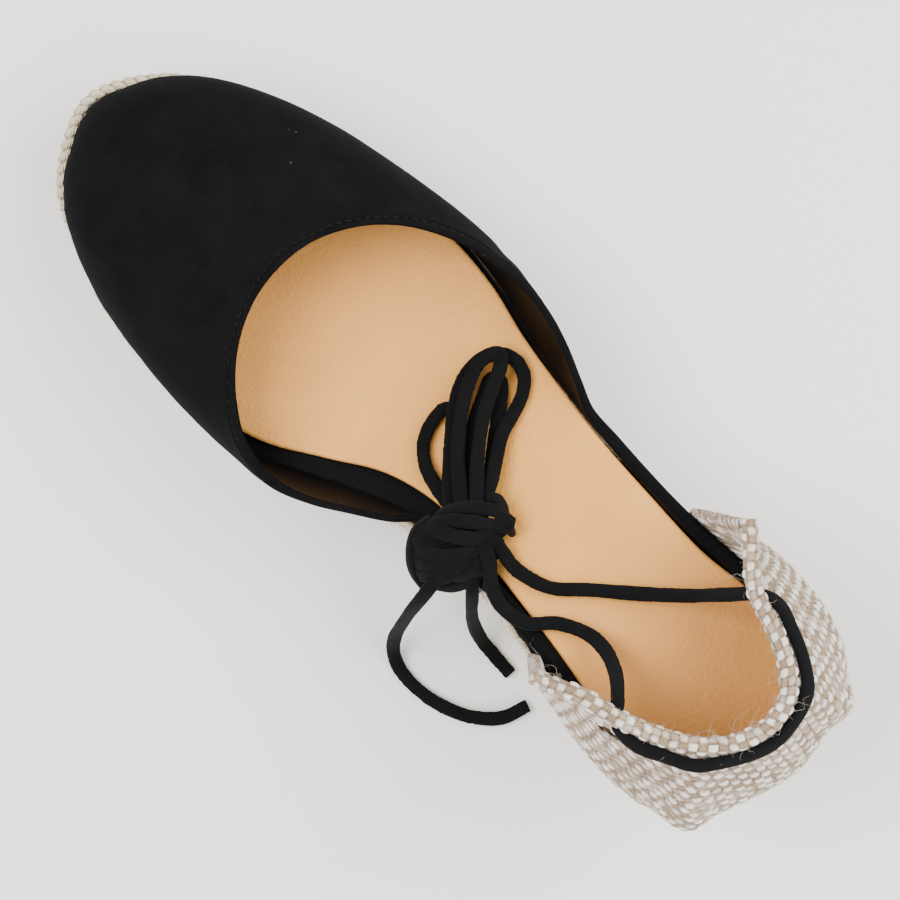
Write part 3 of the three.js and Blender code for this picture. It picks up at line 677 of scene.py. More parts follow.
def fibres(
    name: str, roots: np.ndarray, leans: np.ndarray, lengths: np.ndarray, radius: float, seed: int
) -> bpy.types.Object:
    """Loose curly fibres as one piece of thin closed tubes.

    Args:
        name: The piece's name.
        roots: Where each starts, in millimetres.
        leans: The direction that each starts in.
        lengths: The length of each.
        radius: Half its thickness.
        seed: Seed of the curls.

    Returns:
        The piece.
    """
    rng = np.random.default_rng(seed)
    count, rings = len(roots), 7
    t = np.linspace(0, 1, rings)[None, :, None]
    swing = unit(rng.normal(size=(count, 3)))
    second = unit(np.cross(leans, swing))
    bow = rng.uniform(0.3, 1.1, (count, 1, 1))
    wave = rng.uniform(1.2, 3.4, (count, 1, 1))
    line = roots[:, None] + leans[:, None] * lengths[:, None, None] * t * (1 - 0.35 * t)
    line = line + swing[:, None] * lengths[:, None, None] * bow * t**2 * 0.6
    line = line + second[:, None] * lengths[:, None, None] * 0.22 * np.sin(wave * math.pi * t) * t
    run = unit(np.gradient(line, axis=1))
    side = unit(np.cross(run, swing[:, None] + 0.01))
    other = np.cross(run, side)
    thin = radius * (1 - 0.7 * t[..., None])
    angles = np.arange(3) * 2 * math.pi / 3
    loop = side[:, :, None] * np.cos(angles)[:, None] + other[:, :, None] * np.sin(angles)[:, None]
    places = (line[:, :, None] + loop * thin).reshape(-1, 3)
    faces = []
    for k in range(count):
        base = k * rings * 3
        faces.append((base + 2, base + 1, base))
        for r in range(rings - 1):
            low = base + r * 3
            faces += [(low + i, low + (i + 1) % 3, low + 3 + (i + 1) % 3, low + 3 + i) for i in range(3)]
        top = base + (rings - 1) * 3
        faces.append((top, top + 1, top + 2))
    mesh = bpy.data.meshes.new(name)
    mesh.from_pydata((places * MM).tolist(), [], faces)
    piece = bpy.data.objects.new(name, mesh)
    bpy.context.scene.collection.objects.link(piece)
    pick(piece)
    bpy.ops.object.shade_smooth()
    return piece


# ---------------------------------------------------------------- finishes


class Bench:
    """A material's node tree under construction.

    Args:
        name: The material's name.
    """

    def __init__(self, name: str) -> None:
        """Starts a material with one shader and its output.

        Args:
            name: The material's name.
        """
        self.material = bpy.data.materials.new(name)
        self.material.use_nodes = True
        self.tree = self.material.node_tree
        self.tree.nodes.clear()
        self.shader = self.tree.nodes.new("ShaderNodeBsdfPrincipled")
        out = self.tree.nodes.new("ShaderNodeOutputMaterial")
        self.tree.links.new(self.shader.outputs["BSDF"], out.inputs["Surface"])
        where = self.tree.nodes.new("ShaderNodeTexCoord")
        self.object = where.outputs["Object"]
        self.map = where.outputs["UV"]

    def wire(self, socket: bpy.types.NodeSocket, value: object) -> None:
        """Links a socket to another socket, or sets it to a plain value.

        Args:
            socket: The socket that is fed.
            value: Another socket or a plain value.
        """
        if isinstance(value, bpy.types.NodeSocket):
            self.tree.links.new(value, socket)
        else:
            socket.default_value = value

    def noise(self, where: object, scale: float, detail: float = 3.0, distortion: float = 0.0) -> object:
        """Noise between 0 and 1.

        Args:
            where: The pattern's coordinates.
            scale: Features a metre, or a map unit.
            detail: Finer layers.
            distortion: How far it is stirred.

        Returns:
            The noise.
        """
        node = self.tree.nodes.new("ShaderNodeTexNoise")
        node.inputs["Scale"].default_value = scale
        node.inputs["Detail"].default_value = detail
        node.inputs["Distortion"].default_value = distortion
        self.wire(node.inputs["Vector"], where)
        return node.outputs["Fac"]

    def cells(self, where: object, scale: float) -> object:
        """Distance field of random cells.

        Args:
            where: The pattern's coordinates.
            scale: Cells a metre, or a map unit.

        Returns:
            Distance from each cell's middle.
        """
        node = self.tree.nodes.new("ShaderNodeTexVoronoi")
        node.inputs["Scale"].default_value = scale
        self.wire(node.inputs["Vector"], where)
        return node.outputs["Distance"]

    def waves(self, where: object, scale: float, distortion: float) -> object:
        """Soft stripes across the map's diagonal.

        Args:
            where: The pattern's coordinates.
            scale: How close the stripes lie.
            distortion: How far they are bent.

        Returns:
            The stripes, between 0 and 1.
        """
        node = self.tree.nodes.new("ShaderNodeTexWave")
        node.bands_direction = "DIAGONAL"
        node.inputs["Scale"].default_value = scale
        node.inputs["Distortion"].default_value = distortion
        self.wire(node.inputs["Vector"], where)
        return node.outputs["Fac"]

    def attribute(self, name: str) -> object:
        """A number stored on the piece.

        Args:
            name: The number's name.

        Returns:
            The number.
        """
        node = self.tree.nodes.new("ShaderNodeAttribute")
        node.attribute_name = name
        return node.outputs["Fac"]

    def math(self, kind: str, a: object, b: object = 0.0) -> object:
        """One sum of two values.

        Args:
            kind: The operation.
            a, b: Sockets or plain numbers.

        Returns:
            The result.
        """
        node = self.tree.nodes.new("ShaderNodeMath")
        node.operation = kind
        self.wire(node.inputs[0], a)
        self.wire(node.inputs[1], b)
        return node.outputs[0]

    def scaled(self, where: object, by: tuple[float, float, float]) -> object:
        """A pattern's coordinates stretched along their axes.

        Args:
            where: The pattern's coordinates.
            by: One factor for each axis.

        Returns:
            The stretched coordinates.
        """
        node = self.tree.nodes.new("ShaderNodeMapping")
        self.wire(node.inputs["Vector"], where)
        node.inputs["Scale"].default_value = by
        return node.outputs["Vector"]

    def spread(self, value: object, low: float, high: float) -> object:
        """Stretches the range from low to high over 0 to 1.

        Args:
            value: What is stretched.
            low, high: The range. Low may lie above high.

        Returns:
            The stretched value.
        """
        node = self.tree.nodes.new("ShaderNodeMapRange")
        self.wire(node.inputs["Value"], value)
        node.inputs["From Min"].default_value = low
        node.inputs["From Max"].default_value = high
        return node.outputs["Result"]

    def blend(self, share: object, first: object, second: object) -> object:
        """A mix of two colours.

        Args:
            share: The second colour's share.
            first, second: Sockets or colours.

        Returns:
            The mixed colour.
        """
        node = self.tree.nodes.new("ShaderNodeMix")
        node.data_type = "RGBA"
        self.wire(node.inputs[0], share)
        for socket, value in ((node.inputs[6], first), (node.inputs[7], second)):
            self.wire(socket, (*value, 1.0) if isinstance(value, tuple) and len(value) == 3 else value)
        return node.outputs[2]

    def bump(self, height: object, strength: float, depth: float, under: object = None) -> object:
        """A relief of a depth in metres, laid over another one.

        Args:
            height: The relief, between 0 and 1.
            strength: How strongly it shows.
            depth: Its depth in metres.
            under: The relief below it.

        Returns:
            The normals.
        """
        node = self.tree.nodes.new("ShaderNodeBump")
        node.inputs["Strength"].default_value = strength
        node.inputs["Distance"].default_value = depth
        self.wire(node.inputs["Height"], height)
        if under is not None:
            self.wire(node.inputs["Normal"], under)
        return node.outputs["Normal"]

    def finish(
        self, colour: object, normal: object, roughness: object, sheen: float, specular: float,
        tint: tuple[float, float, float] = (1.0, 1.0, 1.0),
    ) -> bpy.types.Material:
        """Fills the shader and returns the material.

        Args:
            colour, normal, roughness: Sockets or plain values.
            sheen, specular, tint: Plain values, the same all over.

        Returns:
            The material.
        """
        self.wire(self.shader.inputs["Base Color"], colour)
        self.wire(self.shader.inputs["Normal"], normal)
        self.wire(self.shader.inputs["Roughness"], roughness)
        self.shader.inputs["Sheen Weight"].default_value = sheen
        self.shader.inputs["Sheen Roughness"].default_value = 0.45
        self.shader.inputs["Sheen Tint"].default_value = (*tint, 1.0)
        self.shader.inputs["Specular IOR Level"].default_value = specular
        return self.material


@dataclass(frozen=True)
class SuedeFinish:
    """Black suede: matt nap, brushed patches and a few pale specks of lint."""

    name: str = "black_suede"
    deep: tuple[float, float, float] = (0.0028, 0.0028, 0.0031)
    brushed: tuple[float, float, float] = (0.0062, 0.0062, 0.0067)
    lint: tuple[float, float, float] = (0.16, 0.155, 0.15)
    nap: float = 2600.0
    sheen: float = 0.008
    gloss: float = 0.045

    def material(self) -> bpy.types.Material:
        """The suede material."""
        bench = Bench(self.name)
        patches = bench.spread(bench.noise(bench.object, 90.0, 5.0, 0.8), 0.35, 0.7)
        nap = bench.noise(bench.object, self.nap, 4.0)
        colour = bench.blend(patches, self.deep, self.brushed)
        colour = bench.blend(bench.spread(nap, 0.3, 0.75), colour, self.brushed)
        specks = bench.spread(bench.cells(bench.object, 210.0), 0.055, 0.03)
        chance = bench.spread(bench.noise(bench.object, 60.0, 2.0), 0.58, 0.66)
        colour = bench.blend(bench.math("MULTIPLY", specks, chance), colour, self.lint)
        rough = bench.bump(nap, 0.6, 0.00022)
        rough = bench.bump(bench.noise(bench.object, 700.0, 3.0), 0.35, 0.0003, rough)
        return bench.finish(colour, rough, 0.95, self.sheen, self.gloss, (0.6, 0.6, 0.64))


@dataclass(frozen=True)
class LeatherFinish:
    """Tan insole leather with a fine grain, softly mottled, with painted shade at the heel seat and the
    forefoot.
    """

    name: str = "tan_leather"
    light: tuple[float, float, float] = (0.97, 0.45, 0.095)
    # deep: darker tan for the mottling, and the colour of the painted shade at the heel seat and the
    # forefoot.
    deep: tuple[float, float, float] = (0.53, 0.215, 0.046)
    pore: tuple[float, float, float] = (0.38, 0.14, 0.035)

    def material(self) -> bpy.types.Material:
        """The leather material."""
        bench = Bench(self.name)
        clouds = bench.spread(bench.noise(bench.object, 28.0, 4.0, 0.4), 0.32, 0.72)
        # Painted shade: the heel seat darkened as in the heel counter's shadow, the forefoot as in the vamp's
        # shadow.
        shade_share = bench.attribute("painted_shade")
        colour = bench.blend(bench.math("MULTIPLY", clouds, 0.35), self.light, self.deep)
        colour = bench.blend(shade_share, colour, self.deep)
        pores = bench.spread(bench.cells(bench.object, 1500.0), 0.22, 0.05)
        scatter = bench.spread(bench.noise(bench.object, 240.0, 2.0), 0.45, 0.7)
        pores = bench.math("MULTIPLY", bench.math("MULTIPLY", pores, scatter), 0.4)
        colour = bench.blend(pores, colour, self.pore)
        grain = bench.bump(bench.cells(bench.object, 1050.0), 0.5, 0.00022)
        grain = bench.bump(bench.noise(bench.object, 420.0, 4.0), 0.16, 0.0003, grain)
        rough = bench.math("ADD", bench.math("MULTIPLY", clouds, 0.12), 0.5)
        return bench.finish(colour, grain, rough, 0.0, 0.34)


@dataclass(frozen=True)
class JuteFinish:
    """Natural jute yarn: cream and straw tones, painted shade between the plies, fine twisted fibres."""

    name: str = "jute"
    cream: tuple[float, float, float] = (0.93, 0.84, 0.64)
    straw: tuple[float, float, float] = (0.66, 0.52, 0.32)
    # hollow: painted shade, mixed in where the relief is low, between and under the plies.
    hollow: tuple[float, float, float] = (0.30, 0.22, 0.12)

    def material(self) -> bpy.types.Material:
        """The jute material."""
        bench = Bench(self.name)
        tone = bench.attribute("tone")
        streaks = bench.noise(bench.scaled(bench.map, (3.0, 16.0, 1.0)), 1.0, 4.0, 0.6)
        colour = bench.blend(tone, self.straw, self.cream)
        colour = bench.blend(bench.spread(streaks, 0.42, 0.68), colour, self.straw)
        # Painted shade: darker where the relief is low, between the plies.
        colour = bench.blend(bench.attribute("relief"), self.hollow, colour)
        twist = bench.waves(bench.scaled(bench.map, (3.0, 5.0, 1.0)), 1.0, 1.5)
        rough = bench.bump(twist, 0.7, 0.0004)
        rough = bench.bump(bench.noise(bench.object, 2200.0, 4.0), 0.5, 0.0003, rough)
        return bench.finish(colour, rough, 0.92, 0.1, 0.2)


@dataclass(frozen=True)
class WovenFinish:
    """Basket weave of thick white and tan yarns, with painted shade in the crevices. The map counts the
    weave's cells.
    """

    name: str = "woven_cloth"
    white: tuple[float, float, float] = (0.95, 0.885, 0.785)
    tan: tuple[float, float, float] = (0.47, 0.32, 0.19)
    # hollow: painted shade, mixed in where the relief is low, between the yarns.
    hollow: tuple[float, float, float] = (0.17, 0.11, 0.065)

    def material(self) -> bpy.types.Material:
        """The woven material."""
        bench = Bench(self.name)
        tone = bench.attribute("tone")
        streaks = bench.noise(bench.scaled(bench.map, (5.0, 9.0, 1.0)), 1.0, 4.0, 0.8)
        colour = bench.blend(tone, self.tan, self.white)
        fleck = bench.blend(tone, self.white, self.tan)
        colour = bench.blend(bench.math("MULTIPLY", bench.spread(streaks, 0.52, 0.78), 0.4), colour, fleck)
        # Painted shade: darker where the relief is low, in the crevices between the yarns.
        colour = bench.blend(bench.attribute("relief"), self.hollow, colour)
        twist = bench.waves(bench.scaled(bench.map, (2.2, 2.2, 1.0)), 1.0, 2.0)
        rough = bench.bump(twist, 0.5, 0.0003)
        rough = bench.bump(bench.noise(bench.object, 1900.0, 4.0), 0.5, 0.0003, rough)
        return bench.finish(colour, rough, 0.94, 0.12, 0.18)


@dataclass(frozen=True)
class PlainFinish:
    """A plain matt finish with a fine grain, for linings, thread and fibres."""

    name: str
    colour: tuple[float, float, float]
    grain: float = 1500.0
    roughness: float = 0.9
    sheen: float = 0.05
    gloss: float = 0.15

    def material(self) -> bpy.types.Material:
        """The plain material."""
        bench = Bench(self.name)
        patches = bench.spread(bench.noise(bench.object, 300.0, 3.0), 0.3, 0.75)
        darker = tuple(0.62 * part for part in self.colour)
        colour = bench.blend(patches, darker, self.colour)
        rough = bench.bump(bench.noise(bench.object, self.grain, 3.0), 0.4, 0.0002)
        return bench.finish(colour, rough, self.roughness, self.sheen, self.gloss)


# ---------------------------------------------------------------- pieces of the shoe


@dataclass(frozen=True)
class Profile:
    """A soft wall's cross-section: outer skin, rolled top edge and inner skin.

    Args:
        wall: The wall's outer skin.
        stations: Places along the edge.
        outer_steps: Rows from the foot to the roll.
        roll_steps: Rows round the roll.
        thickness: Wall thickness at each station.
        roll: Radius of the rolled edge at each station.
        neck: Distance below the top over which the roll runs into the wall.
        shift: How far the wall stands out from its table at each station.
        crowd: Above 1, rows lie closer together towards the top.
        pinch: Distance from each end over which the wall closes.
    """

    wall: Wall
    stations: np.ndarray
    outer_steps: int
    roll_steps: int
    thickness: np.ndarray
    roll: np.ndarray
    neck: float
    shift: np.ndarray
    crowd: float = 1.0
    pinch: float = 1.4

    def field(self) -> dict[str, np.ndarray]:
        """The wall's points and what materials and reliefs need to know of each.

        Returns:
            places, facing: rows of the section by stations by 3. down: distance below the top edge.
            along: distance along the wall. turn: distance round the section from the top edge, negative
            outside. close: 1, and less where the wall closes at its ends.
        """
        samples = 200
        skin = self.wall.section(self.stations, samples)
        length = np.linalg.norm(np.diff(skin, axis=1), axis=2).sum(axis=1)
        up = unit(np.gradient(skin, axis=1))
        run = np.gradient(skin, axis=0)
        out = unit(np.cross(run, up) * self.wall.turn)
        ends = np.minimum(self.stations - self.stations[0], self.stations[-1] - self.stations)
        close = np.sqrt(np.clip(1 - (1 - np.clip(ends / self.pinch, 0, 1)) ** 2, 0, 1))
        radius = self.roll * close
        share = np.linspace(1, 0, self.outer_steps) ** self.crowd
        down = radius[:, None] + (length - radius)[:, None] * share[None]
        at = (length[:, None] - down) / length[:, None] * (samples - 1)
        low = np.clip(at.astype(int), 0, samples - 2)
        mix = (at - low)[..., None]
        rows = np.arange(len(self.stations))[:, None]

        def read(values: np.ndarray) -> np.ndarray:
            """Values of the skin at the wanted heights."""
            return values[rows, low] * (1 - mix) + values[rows, low + 1] * mix

        skin_at, out_at, up_at = read(skin), unit(read(out)), unit(read(up))
        roll = self.roll[:, None]
        swell = 1 - smoothstep(down, roll, roll + self.neck)
        spare = (2 * roll - self.thickness[:, None]) * close[:, None]
        skin_at = skin_at + out_at * self.shift[:, None, None]
        outer = skin_at + out_at * (spare * 0.4 * swell)[..., None]
        wall = (self.thickness * close)[:, None]
        inner = skin_at - out_at * (wall + spare * 0.6 * swell)[..., None]
        centre = (outer[:, -1] + inner[:, -1]) / 2
        half = np.linalg.norm(outer[:, -1] - inner[:, -1], axis=1) / 2
        angles = np.linspace(0, math.pi, self.roll_steps + 2)[1:-1]
        cosine, sine = np.cos(angles)[None, :, None], np.sin(angles)[None, :, None]
        spoke = out_at[:, -1, None] * cosine + up_at[:, -1, None] * sine
        arc = centre[:, None] + spoke * half[:, None, None]
        places = np.concatenate([outer, arc, inner[:, ::-1]], axis=1)
        floor = bed(places[..., 1]) + GAP
        places[..., 2] = np.maximum(places[..., 2], floor)
        facing = np.concatenate([out_at, spoke, -out_at[:, ::-1]], axis=1)
        depth = np.concatenate([down, np.zeros((len(rows), self.roll_steps)), down[:, ::-1]], axis=1)
        steps = np.linalg.norm(np.diff(places, axis=1), axis=2)
        turn = np.concatenate([np.zeros((len(rows), 1)), np.cumsum(steps, axis=1)], axis=1)
        turn -= turn[:, [places.shape[1] // 2]]
        belt = places[:, self.outer_steps * 3 // 4]
        along = np.repeat(travelled(belt)[:, None], places.shape[1], axis=1)
        return {
            "places": places.transpose(1, 0, 2), "facing": facing.transpose(1, 0, 2), "down": depth.T,
            "turn": turn.T, "along": along.T, "close": np.repeat(close[None], places.shape[1], axis=0),
        }


def wrap_rows(values: np.ndarray) -> np.ndarray:
    """Repeats the first row after the last, so that a section closes on itself."""
    return np.concatenate([values, values[:1]], axis=0)


@dataclass(frozen=True)
class JuteSole:
    """The wedge: a core of the sole's true shape, wrapped in rows of flat jute braid.

    Args:
        row: Height of a row of braid.
        ply_pitch: Distance between plies along a row.
        ply_long, ply_thick, ply_high: Half sizes of a ply.
        slant: How far the plies lean from their row, in degrees.
        ply_depth: How far a ply's middle lies inside the wedge's side.
        half_row: How far each half of a row lies from its middle, as a share of the row.
        lift: How far the lowest row is raised from the sole's bottom edge.
        row_count: Rows from the ground up, before they are cut off by the top.
        core_depth: How far the core lies inside the wedge's side.
        core_columns: Faces round the core.
        vamp_tuck, waist_tuck: How far the side steps in below the vamp, and below the outer tail.
        toe_stand: How far the side stands out in front of the vamp.
        welt_from_y: Where the row on the toe's rim starts.
        welt_slant: How far its plies lean, in degrees.
        welt_ply: Half sizes of its plies.
        welt_in, welt_down: How far its plies' middles lie in from the edge and below the rim.
        fuzz_count, fuzz_radius: Number and radius of the loose fibres.
        lining_y: Ends of the stretch on which the upper's margin covers the core's top.
        seed: Seed of the braid's small variations.
    """

    row: float = 6.0
    ply_pitch: float = 3.1
    ply_long: float = 2.5
    ply_thick: float = 1.35
    ply_high: float = 1.3
    slant: float = 34.0
    ply_depth: float = 1.45
    half_row: float = 0.235
    lift: float = 0.7
    row_count: int = 9
    core_depth: float = 1.7
    core_columns: int = 240
    vamp_tuck: float = 0.2
    waist_tuck: float = 1.3
    toe_stand: float = 1.1
    welt_from_y: float = 103.0
    welt_slant: float = 32.0
    welt_ply: tuple[float, float, float] = (2.3, 1.25, 0.95)
    welt_in: float = 2.1
    welt_down: float = 0.15
    fuzz_count: int = 620
    fuzz_radius: float = 0.045
    lining_y: tuple[float, float] = (-84.0, 88.0)
    seed: int = 11

    def ring(self, share: np.ndarray, level: np.ndarray) -> tuple[np.ndarray, np.ndarray]:
        """Points and outward directions on the wedge's side.

        Args:
            share: Shares round the outline.
            level: Shares of the wedge's height.

        Returns:
            Points and outward directions.
        """
        top, out = SOLE_EDGE.at(share)
        top = np.column_stack([top, bed(top[:, 1])])
        part = np.where(share < SOLE_EDGE.heel_at, share / SOLE_EDGE.heel_at * GROUND_EDGE.heel_at,
                        GROUND_EDGE.heel_at + (share - SOLE_EDGE.heel_at) / (1 - SOLE_EDGE.heel_at)
                        * (1 - GROUND_EDGE.heel_at))
        ground, _ = GROUND_EDGE.at(part)
        ground = np.column_stack([ground, underside(ground[:, 1])])
        out = np.column_stack([out, np.zeros(len(out))])
        place = ground + (top - ground) * level[:, None]
        y = place[:, 1]
        at_toe = smoothstep(y, 98, 110)
        at_waist = (place[:, 0] > 0) * smoothstep(y, -80, -60) * (1 - smoothstep(y, -25, -5))
        tuck = self.vamp_tuck * smoothstep(y, -8, 20) * (1 - at_toe)
        tuck = np.maximum(tuck, self.waist_tuck * at_waist)
        tuck = tuck - self.toe_stand * at_toe
        return place - out * tuck[:, None], out

    def core(self) -> bpy.types.Object:
        """The wedge's body, a little inside its braid.

        Returns:
            The core.
        """
        count = self.core_columns
        share = np.linspace(0, 1, count, endpoint=False)
        rings = []
        for inset, level in ((0.0, 0.0), (0.55, 0.0), (0.9, 0.0), (1.0, 0.02), (1.0, 0.5), (1.0, 0.98),
                             (0.95, 1.0), (0.6, 1.0), (0.0, 1.0)):
            edge, out = self.ring(share, np.full(count, level))
            edge = edge - out * self.core_depth
            mirror = np.roll(edge[::-1], 1, axis=0)
            keep = np.clip(np.minimum(np.arange(count), count - np.arange(count)), 8, count // 2 - 8)
            spine = (edge[keep] + mirror[keep]) / 2
            place = spine + (edge - spine) * inset
            height = bed(place[:, 1]) if level > 0.9 else underside(place[:, 1])
            if level not in (0.5, 0.02, 0.98):
                place[:, 2] = height - (0.2 if level > 0.9 else 0)
            rings.append(place)
        places = np.stack(rings)
        places = np.concatenate([places, places[:, :1]], axis=1)
        coords = np.stack(np.broadcast_arrays(places[..., 0], places[..., 1]), axis=-1) / 6
        piece = grid_piece("sole_core", places, coords)
        close_and_face_out(piece, 50)
        set_value(piece, "tone", np.full(len(piece.data.vertices), 0.35))
        # Painted shade: a relief of 0.45 mixes over half of the jute finish's shade colour into the whole
        # core, which shows only between the plies.
        set_value(piece, "relief", np.full(len(piece.data.vertices), 0.45))
        return piece

    def ply_frame(
        self, long_axis: np.ndarray, face: np.ndarray, size: tuple[float | np.ndarray, ...]
    ) -> np.ndarray:
        """Axes of plies, as columns.

        Args:
            long_axis: The directions that the plies lie along.
            face: The directions that they look in.
            size: Their half length, half width and half height.

        Returns:
            Count by 3 by 3.
        """
        long, thick, high = size
        return np.stack([long_axis * long, np.cross(face, long_axis) * thick, face * high], axis=2)

    def run_along(self, at: np.ndarray, level: np.ndarray, place: np.ndarray) -> np.ndarray:
        """The way that the outline runs at points of a ring.

        Args:
            at: Shares round the outline.
            level: Shares of the wedge's height.
            place: The points there.

        Returns:
            One direction for each.
        """
        ahead, _ = self.ring(np.mod(at + 0.002, 1), level)
        return unit(ahead - place)

    def welt(self, share: np.ndarray, rng: np.random.Generator) -> tuple[np.ndarray, np.ndarray, np.ndarray]:
        """One row of plies that lies on the sole's rim in front of the vamp.

        Args:
            share: Shares round the outline, one for each ply.
            rng: The braid's random source.

        Returns:
            Axes, centres and tones.
        """
        count = len(share)
        at, level = np.mod(share + 0.5 / count, 1), np.ones(count)
        place, out = self.ring(at, level)
        run = self.run_along(at, level, place)
        over = unit(np.cross(run, out))
        over = over * np.sign(over[:, 2:])
        angle = np.radians(self.welt_slant + rng.normal(0, 4, count))
        long_axis = run * np.cos(angle)[:, None] + out * np.sin(angle)[:, None]
        frame = self.ply_frame(long_axis, over, self.welt_ply)
        shown = place[:, 1] > self.welt_from_y
        centre = place - out * self.welt_in - over * self.welt_down
        return frame[shown], centre[shown], rng.uniform(0.6, 1.0, count)[shown]

    def braid(self) -> bpy.types.Object:
        """Rows of slanted plies, in two mirrored halves a row, like chevrons.

        Returns:
            The braid as one piece.
        """
        rng = np.random.default_rng(self.seed)
        count = int(SOLE_EDGE.length / self.ply_pitch)
        share = (np.arange(count) + 0.5) / count
        top = self.ring(share, np.ones(count))[0]
        low = self.ring(share, np.zeros(count))[0]
        crown, foot = bed(top[:, 1]), low[:, 2]
        clear_of_edge = 0.5 + 0.5 * (1 - smoothstep(top[:, 1], 96, 106))
        rows = [(BraidRow.EDGE, crown - self.row / 2 - clear_of_edge)]
        rows += [(BraidRow.LYING, foot + self.row * (k + 0.5) + self.lift) for k in range(self.row_count)]
        frames, centres, tones = [], [], []
        for kind, height in rows:
            keep = np.ones(count, bool) if kind is BraidRow.EDGE else height < crown - self.row * 0.85
            level = (height - foot) / (crown - foot)
            drift = rng.uniform(0, 1)
            for half in (-1, 1):
                at = np.mod(share + (drift + 0.25 * half) / count, 1)
                shifted = level + half * self.row * self.half_row / (crown - foot)
                place, out = self.ring(at, shifted)
                run = self.run_along(at, shifted, place)
                if kind is BraidRow.LYING:
                    run = unit(run * np.array([1, 1, 0.3]))
                up = unit(np.cross(out, run))
                angle = np.radians(self.slant * half + rng.normal(0, 4, count))
                long_axis = run * np.cos(angle)[:, None] + up * np.sin(angle)[:, None]
                grow = rng.uniform(0.88, 1.12, (count, 1))
                size = (self.ply_long * grow, self.ply_thick * grow, self.ply_high * grow)
                frame = self.ply_frame(long_axis, out, size)
                place = place - out * (self.ply_depth + rng.uniform(-0.12, 0.12, (count, 1)))
                frames.append(frame[keep])
                centres.append(place[keep])
                tones.append(rng.uniform(0.45, 1.0, count)[keep])
        for parts, made in zip((frames, centres, tones), self.welt(share, rng)):
            parts.append(made)
        frames, centres = np.concatenate(frames), np.concatenate(centres)
        bead = small_bead(8, 6)
        own = np.array([vertex.co for vertex in bead.data.vertices])
        # Painted shade: plies are lighter where they face out and darker at their ends and inner sides,
        # through the relief that the jute finish darkens.
        outness = np.clip(own[:, 2] * 0.75 + 0.5 - 0.2 * np.abs(own[:, 0]), 0, 1)
        piece = many("sole_braid", bead, frames, centres)
        set_value(piece, "tone", np.repeat(np.concatenate(tones), len(own)))
        set_value(piece, "relief", np.tile(outness, len(frames)))
        LOG.info("sole_braid: %d plies", len(frames))
        return piece

    def fuzz(self) -> bpy.types.Object:
        """Loose fibres that stand off the braid.

        Returns:
            The fibres as one piece.
        """
        rng = np.random.default_rng(self.seed + 1)
        count = self.fuzz_count
        share = rng.uniform(0, 1, count)
        level = rng.uniform(0.08, 1.0, count)
        place, out = self.ring(share, level)
        lean = unit(out + rng.normal(0, 0.8, (count, 3)))
        lean[:, 2] = np.where(level < 0.3, np.abs(lean[:, 2]), lean[:, 2])
        long = rng.uniform(1.0, 3.4, count)
        return fibres("sole_fuzz", place - out * 0.2, lean, long, self.fuzz_radius, self.seed)

    def build(self, jute: bpy.types.Material, straw: bpy.types.Material, lining: bpy.types.Material,
              ) -> list[bpy.types.Object]:
        """Makes and dresses the sole's pieces. The upper's turned-in margin shows on the core's top.

        Args:
            jute: Finish of the core and the braid.
            straw: Finish of the loose fibres.
            lining: Finish of the upper's margin on the core's top.

        Returns:
            The pieces.
        """
        pieces = [self.core(), self.braid(), self.fuzz()]
        for piece, finish in zip(pieces, (jute, jute, straw)):
            piece.data.materials.append(finish)
        pieces[0].data.materials.append(lining)
        back, front = self.lining_y
        for face in pieces[0].data.polygons:
            _, y, z = face.center / MM
            if back < y < front and z > bed(np.array(y)) - 1.0:
                face.material_index = 1
        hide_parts("sole")
        return pieces


@dataclass(frozen=True)
class LeatherInsole:
    """The leather sheet over the foot bed, softly dished, with rounded edges."""

    dish: float = 0.7
    round: float = 0.9
    columns: int = 360

    def build(self, leather: bpy.types.Material) -> list[bpy.types.Object]:
        """Makes and dresses the insole.

        Args:
            leather: Its finish.

        Returns:
            The piece in a list.
        """
        count = self.columns
        share = np.linspace(0, 1, count, endpoint=False)
        edge, out = INSOLE_EDGE.at(share)
        mirror = np.roll(edge[::-1], 1, axis=0)
        keep = np.clip(np.minimum(np.arange(count), count - np.arange(count)), 12, count // 2 - 12)
        spine = (edge[keep] + mirror[keep]) / 2
        bends = np.linspace(0, math.pi / 2, 6)
        lip = [(self.round * (1 - math.sin(bend)), self.round * (1 - math.cos(bend))) for bend in bends]
        rings = []
        for reach in (0.0, 0.6, 0.97):
            place = spine + (edge - spine) * reach
            rings.append(np.column_stack([place, bed(place[:, 1]) + GAP]))
        rings.append(np.column_stack([edge, bed(edge[:, 1]) + GAP + 0.1]))
        for fall, back in lip:
            place = edge - out * back
            rings.append(np.column_stack([place, insole_top(place[:, 1]) - fall]))
        for reach in np.linspace(1, 0, 26)[1:]:
            start = edge - out * self.round
            place = spine + (start - spine) * reach
            hollow = self.dish * (1 - reach**2) * 0.6
            rings.append(np.column_stack([place, insole_top(place[:, 1]) - hollow]))
        places = np.stack(rings)
        places = np.concatenate([places, places[:, :1]], axis=1)
        piece = grid_piece("insole_leather", places, places[..., :2])
        close_and_face_out(piece)
        spots = np.zeros(len(piece.data.vertices) * 3)
        piece.data.vertices.foreach_get("co", spots)
        y = spots.reshape(-1, 3)[:, 1] / MM
        # Painted shade, read by the leather finish: strong at the heel seat, in the counter's shadow, and
        # lighter on the forefoot, in the vamp's shadow.
        set_value(piece, "painted_shade", 0.02 + 0.66 * smoothstep(-y, 45, 98) + 0.34 * smoothstep(y, 5, 62))
        piece.data.materials.append(leather)
        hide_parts("insole")
        return [piece]


